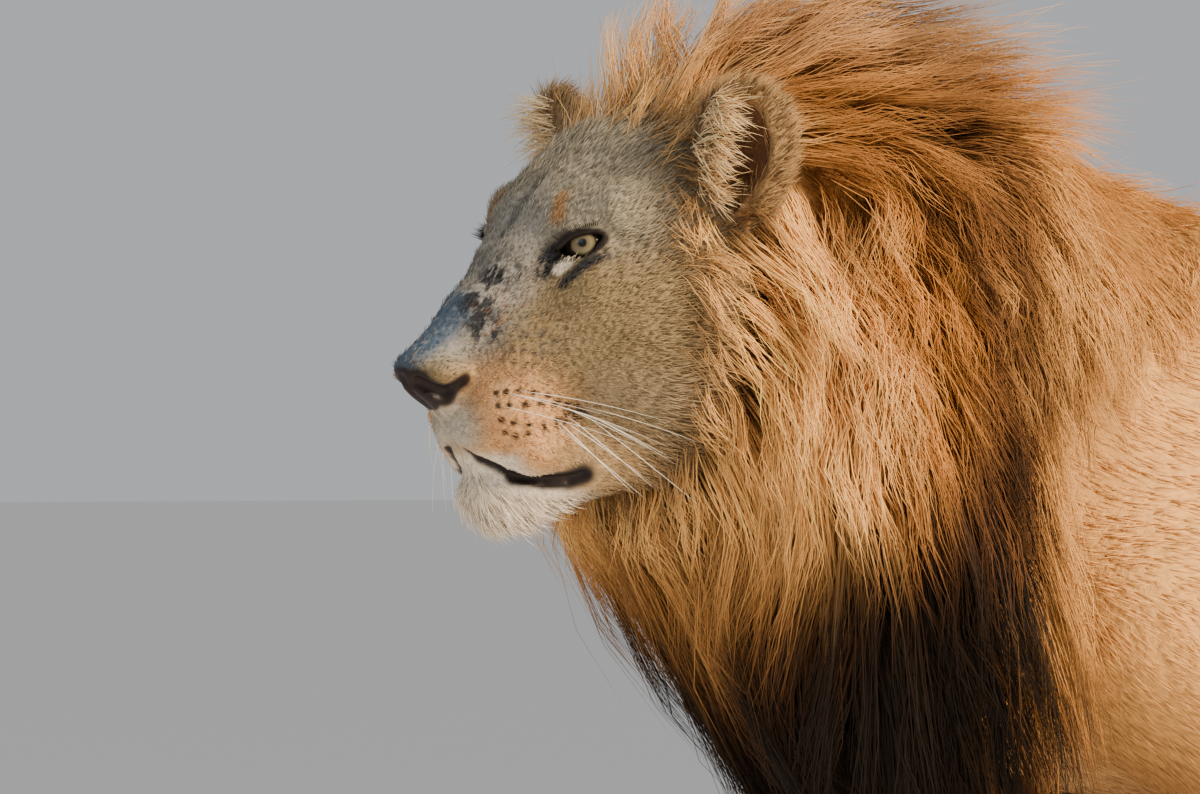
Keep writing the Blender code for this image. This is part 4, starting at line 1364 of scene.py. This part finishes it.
def body_fur(ground):
    """Sparse tufts over the body, closest on the shoulder."""
    def density(m):
        back, up = lion_units(m)[1:]
        here = (1 + 5.0 * shoulder_mask(m) + .3 * ramp(up, .2, .1)) * (up > .012)
        here = here * ramp(back, .46, .50)
        return BODY_DENSITY * here * (1 - .9 * mane_mask(m))

    place, normal, uv = ground.scatter(density)
    back, up = lion_units(place)[1:]
    shoulder = shoulder_mask(place)
    long = .019 - .009 * ramp(up, .30, .10) + .006 * shoulder
    long = long + .015 * ramp(up, .66, .58) * ramp(back, .8, .9) * ramp(back, 1.5, 1.4) * (up > .5)
    long = long * rng.uniform(.7, 1.3, len(place))
    paths = tufts(place, normal, long, rng.uniform(.035, .10, len(place)), .10)
    # Painted light: the tufts are made lighter and paler than the skin beneath, against the shade that
    # falls on their own sides.
    paints = short_paints(place, .10 * rng.normal(0, 1, len(place)) + .14, 1.0)
    paints = paints + .14 * (PALE * 1.15 - paints)
    base = rng.uniform(.0007, .0012, len(place)) * (1 - .3 * ramp(up, .3, .1)) * (1 - .35 * shoulder)
    radii = taper(TUFT_POINTS, base)
    order = np.argsort(place[:, 1])
    hair_pieces("body_fur", 2, order, paths, radii, paints, uv, normal, "coat", FUR)


# ---------------------------------------------------------------- whiskers, lashes, wisps and claws

WHISKER_SHARE = .50
LASHES = 24
EAR_WISPS = 520
TASSEL_HAIRS = 1300
CLAW_LENGTH = .016
CLAW_RADIUS = .0034


def bristles(place, heading, length, pull, radius, points, colour, noise=0.0):
    """(paths, radii, colours) of hairs that start along heading and are pulled more at each step."""
    paths = np.empty((len(place), points, 3))
    paths[:, 0] = place
    way = unit(heading)
    for k in range(points - 1):
        paths[:, k + 1] = paths[:, k] + way * (length / (points - 1))[:, None]
        way = unit(way + np.array(pull))
    tone = 1 + noise * rng.normal(0, 1, len(place))
    paints = np.clip(np.tile(colour, (len(place), points, 1)) * tone[:, None, None], .002, .95)
    return paths, taper(points, radius), paints


def unwrap_at(ground, place):
    """Where the nearest of the skin's triangles lies on the unwrap."""
    return ground.uv[nearest_of(ground.middle, place)].mean(axis=1)


def whiskers(ground):
    """Long pale bristles from some of the dark spots."""
    place = SPOTS[rng.random(len(SPOTS)) < WHISKER_SHARE]
    s = np.sign(place[:, 0])
    low = ramp(lion_units(place)[2], .985, .945)
    heading = np.stack((s * (.75 + .15 * low), .55 - .1 * low, -.12 - .75 * low), axis=1)
    heading += .10 * rng.normal(0, 1, heading.shape)
    length = rng.uniform(.085, .140, len(place))
    radius = rng.uniform(.00042, .00056, len(place))
    spikes = bristles(place, heading, length, (0, .035, -.03), radius, 9, srgb(240, 232, 214))
    hair("whiskers", *spikes, unwrap_at(ground, place), heading[:, [1, 2, 0]], "face_fur", FUR)


def lashes(ground):
    """Dark lashes along the upper lids."""
    place, heading = [], []
    for s in (1, -1):
        centre, gaze, along, over = eye_axes(s)
        for k in range(LASHES):
            a = -.018 + .0014 * k
            out = centre + along * a + over * (.0105 - 9 * a * a) + gaze * (.0185 - 12 * a * a)
            place.append(out)
            heading.append(gaze * .9 + over * .25 + along * (a * 22))
    place, heading = np.array(place), np.array(heading)
    length = rng.uniform(.012, .020, len(place))
    radius = np.full(len(place), .00060)
    spikes = bristles(place, heading, length, (0, 0, .05), radius, 4, DARK)
    hair("lashes", *spikes, unwrap_at(ground, place), heading[:, [1, 2, 0]], "dark_mane", FUR)


def ear_wisps(ground):
    """Long pale hair that crosses the ears' openings from their front edge."""
    place, heading, count = [], [], EAR_WISPS
    for s in (1, -1):
        turn, middle = ear_axes(s), at(s * EAR[0], EAR[1], EAR[2])
        across = -s * rng.uniform(.016, .040, count)
        rise = rng.uniform(-.045, .042, count)
        across = across * np.sqrt(np.clip(1 - (rise / .062) ** 2, .1, 1))
        local = np.stack((across, rng.uniform(-.014, -.002, count), rise), axis=1) * SIZE
        place.append(middle + local @ turn.T)
        way = np.stack((s * rng.uniform(.4, 1.0, count), rng.uniform(-1.0, -.45, count),
                        rng.uniform(-.1, .8, count)), axis=1)
        heading.append(way @ turn.T)
    place, heading = np.concatenate(place), np.concatenate(heading)
    length = rng.uniform(.026, .064, len(place))
    radius = rng.uniform(.0005, .0008, len(place))
    spikes = bristles(place, heading, length, (0, .10, -.04), radius, 5, srgb(240, 208, 160), .16)
    hair("ear_wisps", *spikes, unwrap_at(ground, place), heading[:, [1, 2, 0]], "face_fur", FUR)


def tail_tuft(ground):
    """A dark tassel at the end of the tail."""
    end, above = tail_points()[-1][0], tail_points()[-3][0]
    count = TASSEL_HAIRS
    t = rng.random(count) ** .7  # 0 at the upper end of the tassel, 1 at the tip of the tail
    place = end + (above - end) * .8 * (1 - t)[:, None]
    angle = rng.uniform(0, 2 * math.pi, count)
    out = np.stack((np.cos(angle), np.sin(angle), 0 * angle), axis=1)
    place = place + out * .014 * SIZE
    heading = unit(end - above) + out * .55
    length = rng.uniform(.08, .135, count) * (.75 + .25 * t)
    radius = rng.uniform(.0007, .0011, count)
    spikes = bristles(place, heading, length, (0, .02, -.30), radius, 6, srgb(58, 38, 24), .18)
    hair("tail_tassel", *spikes, unwrap_at(ground, place), out, "dark_mane", FUR, ("tail_tuft",))


def claws():
    """Dark horny tips, almost hidden in the fur of the toes."""
    place = []
    for side, back, _, wide, length in paw_places():
        for spread, reach in TOES:
            place.append(at(side + spread * wide, back - reach * length - wide * .30, .030))
    count = len(place)
    heading = np.tile((0, -1, -.35), (count, 1))
    length, radius = np.full(count, CLAW_LENGTH), np.full(count, CLAW_RADIUS)
    spikes = bristles(np.array(place), heading, length, (0, .02, -.28), radius, 5, srgb(74, 62, 52))
    across = np.tile((1.0, 0, 0), (count, 1))
    hair("claws", *spikes, np.full((count, 2), .5), across, "nose_leather", HORN)


def unwrap(skin):
    """The skin's one unwrap, on which the roots of all hair lie."""
    bpy.context.view_layer.objects.active = skin
    skin.select_set(True)
    skin.data.uv_layers.new(name="OFBake")
    bpy.ops.object.mode_set(mode="EDIT")
    bpy.ops.mesh.select_all(action="SELECT")
    bpy.ops.uv.smart_project(angle_limit=math.radians(66), island_margin=.002)
    bpy.ops.object.mode_set(mode="OBJECT")
    skin.select_set(False)


def paint_skin(skin, ground):
    """The markings on the skin itself, with its bare places, and painted shade where the mane covers it.
    """
    places = ground.points
    back, up = places[:, 1] / SIZE, places[:, 2] / SIZE
    mask, bare = mane_mask(places), bare_mask(places)
    tint = np.ones((len(places), 4), np.float32)
    tint[:, :3] = short_coat(places) * .97
    # Painted shade: under the mane the skin takes the mane's colour at about half its brightness.
    tint[:, :3] = mix(tint[:, :3], mane_paint(places, 0 * mask) * .55, mask)
    tint[:, :3] = mix(tint[:, :3], DARK, bare)
    pad = near_line(places, ((0, .004, .998), (0, .030, .974)), .0105, .3) * bare
    tint[:, :3] = mix(tint[:, :3], NOSE_RED, pad)
    tint[:, :3] = mix(tint[:, :3], NOSE_BLUE, .7 * pad * ramp(up, 1.002, 1.010))
    skin.data.attributes.new("tint", "FLOAT_COLOR", "POINT").data.foreach_set("color", tint.ravel())
    legs = np.maximum(ramp(up, .66, .52), ramp(back, .83, .87))
    for name, values in (("bare", bare), ("legs", legs)):
        layer = skin.data.attributes.new(name, "FLOAT", "POINT")
        layer.data.foreach_set("value", values.astype(np.float32))
    skin.data.materials.append(hide_material())


unwrap(skin)
ground = Ground(skin)
paint_skin(skin, ground)
mane(ground)
face_fur(ground)
body_fur(ground)
whiskers(ground)
lashes(ground)
ear_wisps(ground)
tail_tuft(ground)
claws()


# ---------------------------------------------------------------- floor, light and camera

CAMERA_AZIMUTH = 56
CAMERA_DISTANCE = 11.0
FRAME_WIDTH = 1.008
FRAME_FROM_NOSE = (.1705, -.0227)
LIT_PLACE = (0, .45, .95)


def studio():
    """A plain pale floor under an even sky."""
    bpy.ops.mesh.primitive_plane_add(size=200)
    floor = bpy.context.object
    floor.name = "studio_floor"
    paint = bpy.data.materials.new("pale_floor")
    paint.use_nodes = True
    paint.node_tree.nodes["Principled BSDF"].inputs["Base Color"].default_value = (.86, .84, .81, 1)
    paint.node_tree.nodes["Principled BSDF"].inputs["Roughness"].default_value = .8
    floor.data.materials.append(paint)
    world = bpy.data.worlds.new("studio")
    world.use_nodes = True
    world.node_tree.nodes["Background"].inputs["Color"].default_value = (.80, .82, .85, 1)
    world.node_tree.nodes["Background"].inputs["Strength"].default_value = .59
    bpy.context.scene.world = world


def softbox(name, azimuth, elevation, distance, size, power, colour):
    """A square light, aimed at the front of the neck from the given side."""
    a, e = math.radians(azimuth), math.radians(elevation)
    back = Vector((math.sin(a) * math.cos(e), -math.cos(a) * math.cos(e), math.sin(e)))
    lamp = bpy.data.lights.new(name, "AREA")
    lamp.shape = "SQUARE"
    lamp.size = size
    lamp.energy = power
    lamp.color = colour
    box = bpy.data.objects.new(name, lamp)
    bpy.context.scene.collection.objects.link(box)
    box.location = Vector(at(*LIT_PLACE)) + back * distance
    box.rotation_euler = (-back).to_track_quat("-Z", "Y").to_euler()


def camera():
    """A long lens, level with the head, framed from the tip of the nose."""
    a = math.radians(CAMERA_AZIMUTH)
    right = Vector((math.cos(a), math.sin(a), 0))
    target = Vector(at(0, 0, 1.0)) + right * FRAME_FROM_NOSE[0] + Vector((0, 0, FRAME_FROM_NOSE[1]))
    back = Vector((math.sin(a), -math.cos(a), 0))
    lens = bpy.data.cameras.new("camera")
    lens.sensor_width = 36
    lens.lens = 36 * CAMERA_DISTANCE / FRAME_WIDTH
    lens.clip_end = 500
    view = bpy.data.objects.new("camera", lens)
    bpy.context.scene.collection.objects.link(view)
    view.location = target + back * CAMERA_DISTANCE
    view.rotation_euler = (-back).to_track_quat("-Z", "Y").to_euler()
    bpy.context.scene.camera = view


studio()
softbox("key", 114, 28, 4.5, 1.5, 540, (1, .82, .62))
softbox("fill", 15, 25, 5.0, 3.0, 36, (.80, .90, 1))
softbox("top", 110, 75, 4.0, 3.0, 80, (1, .94, .86))
camera()
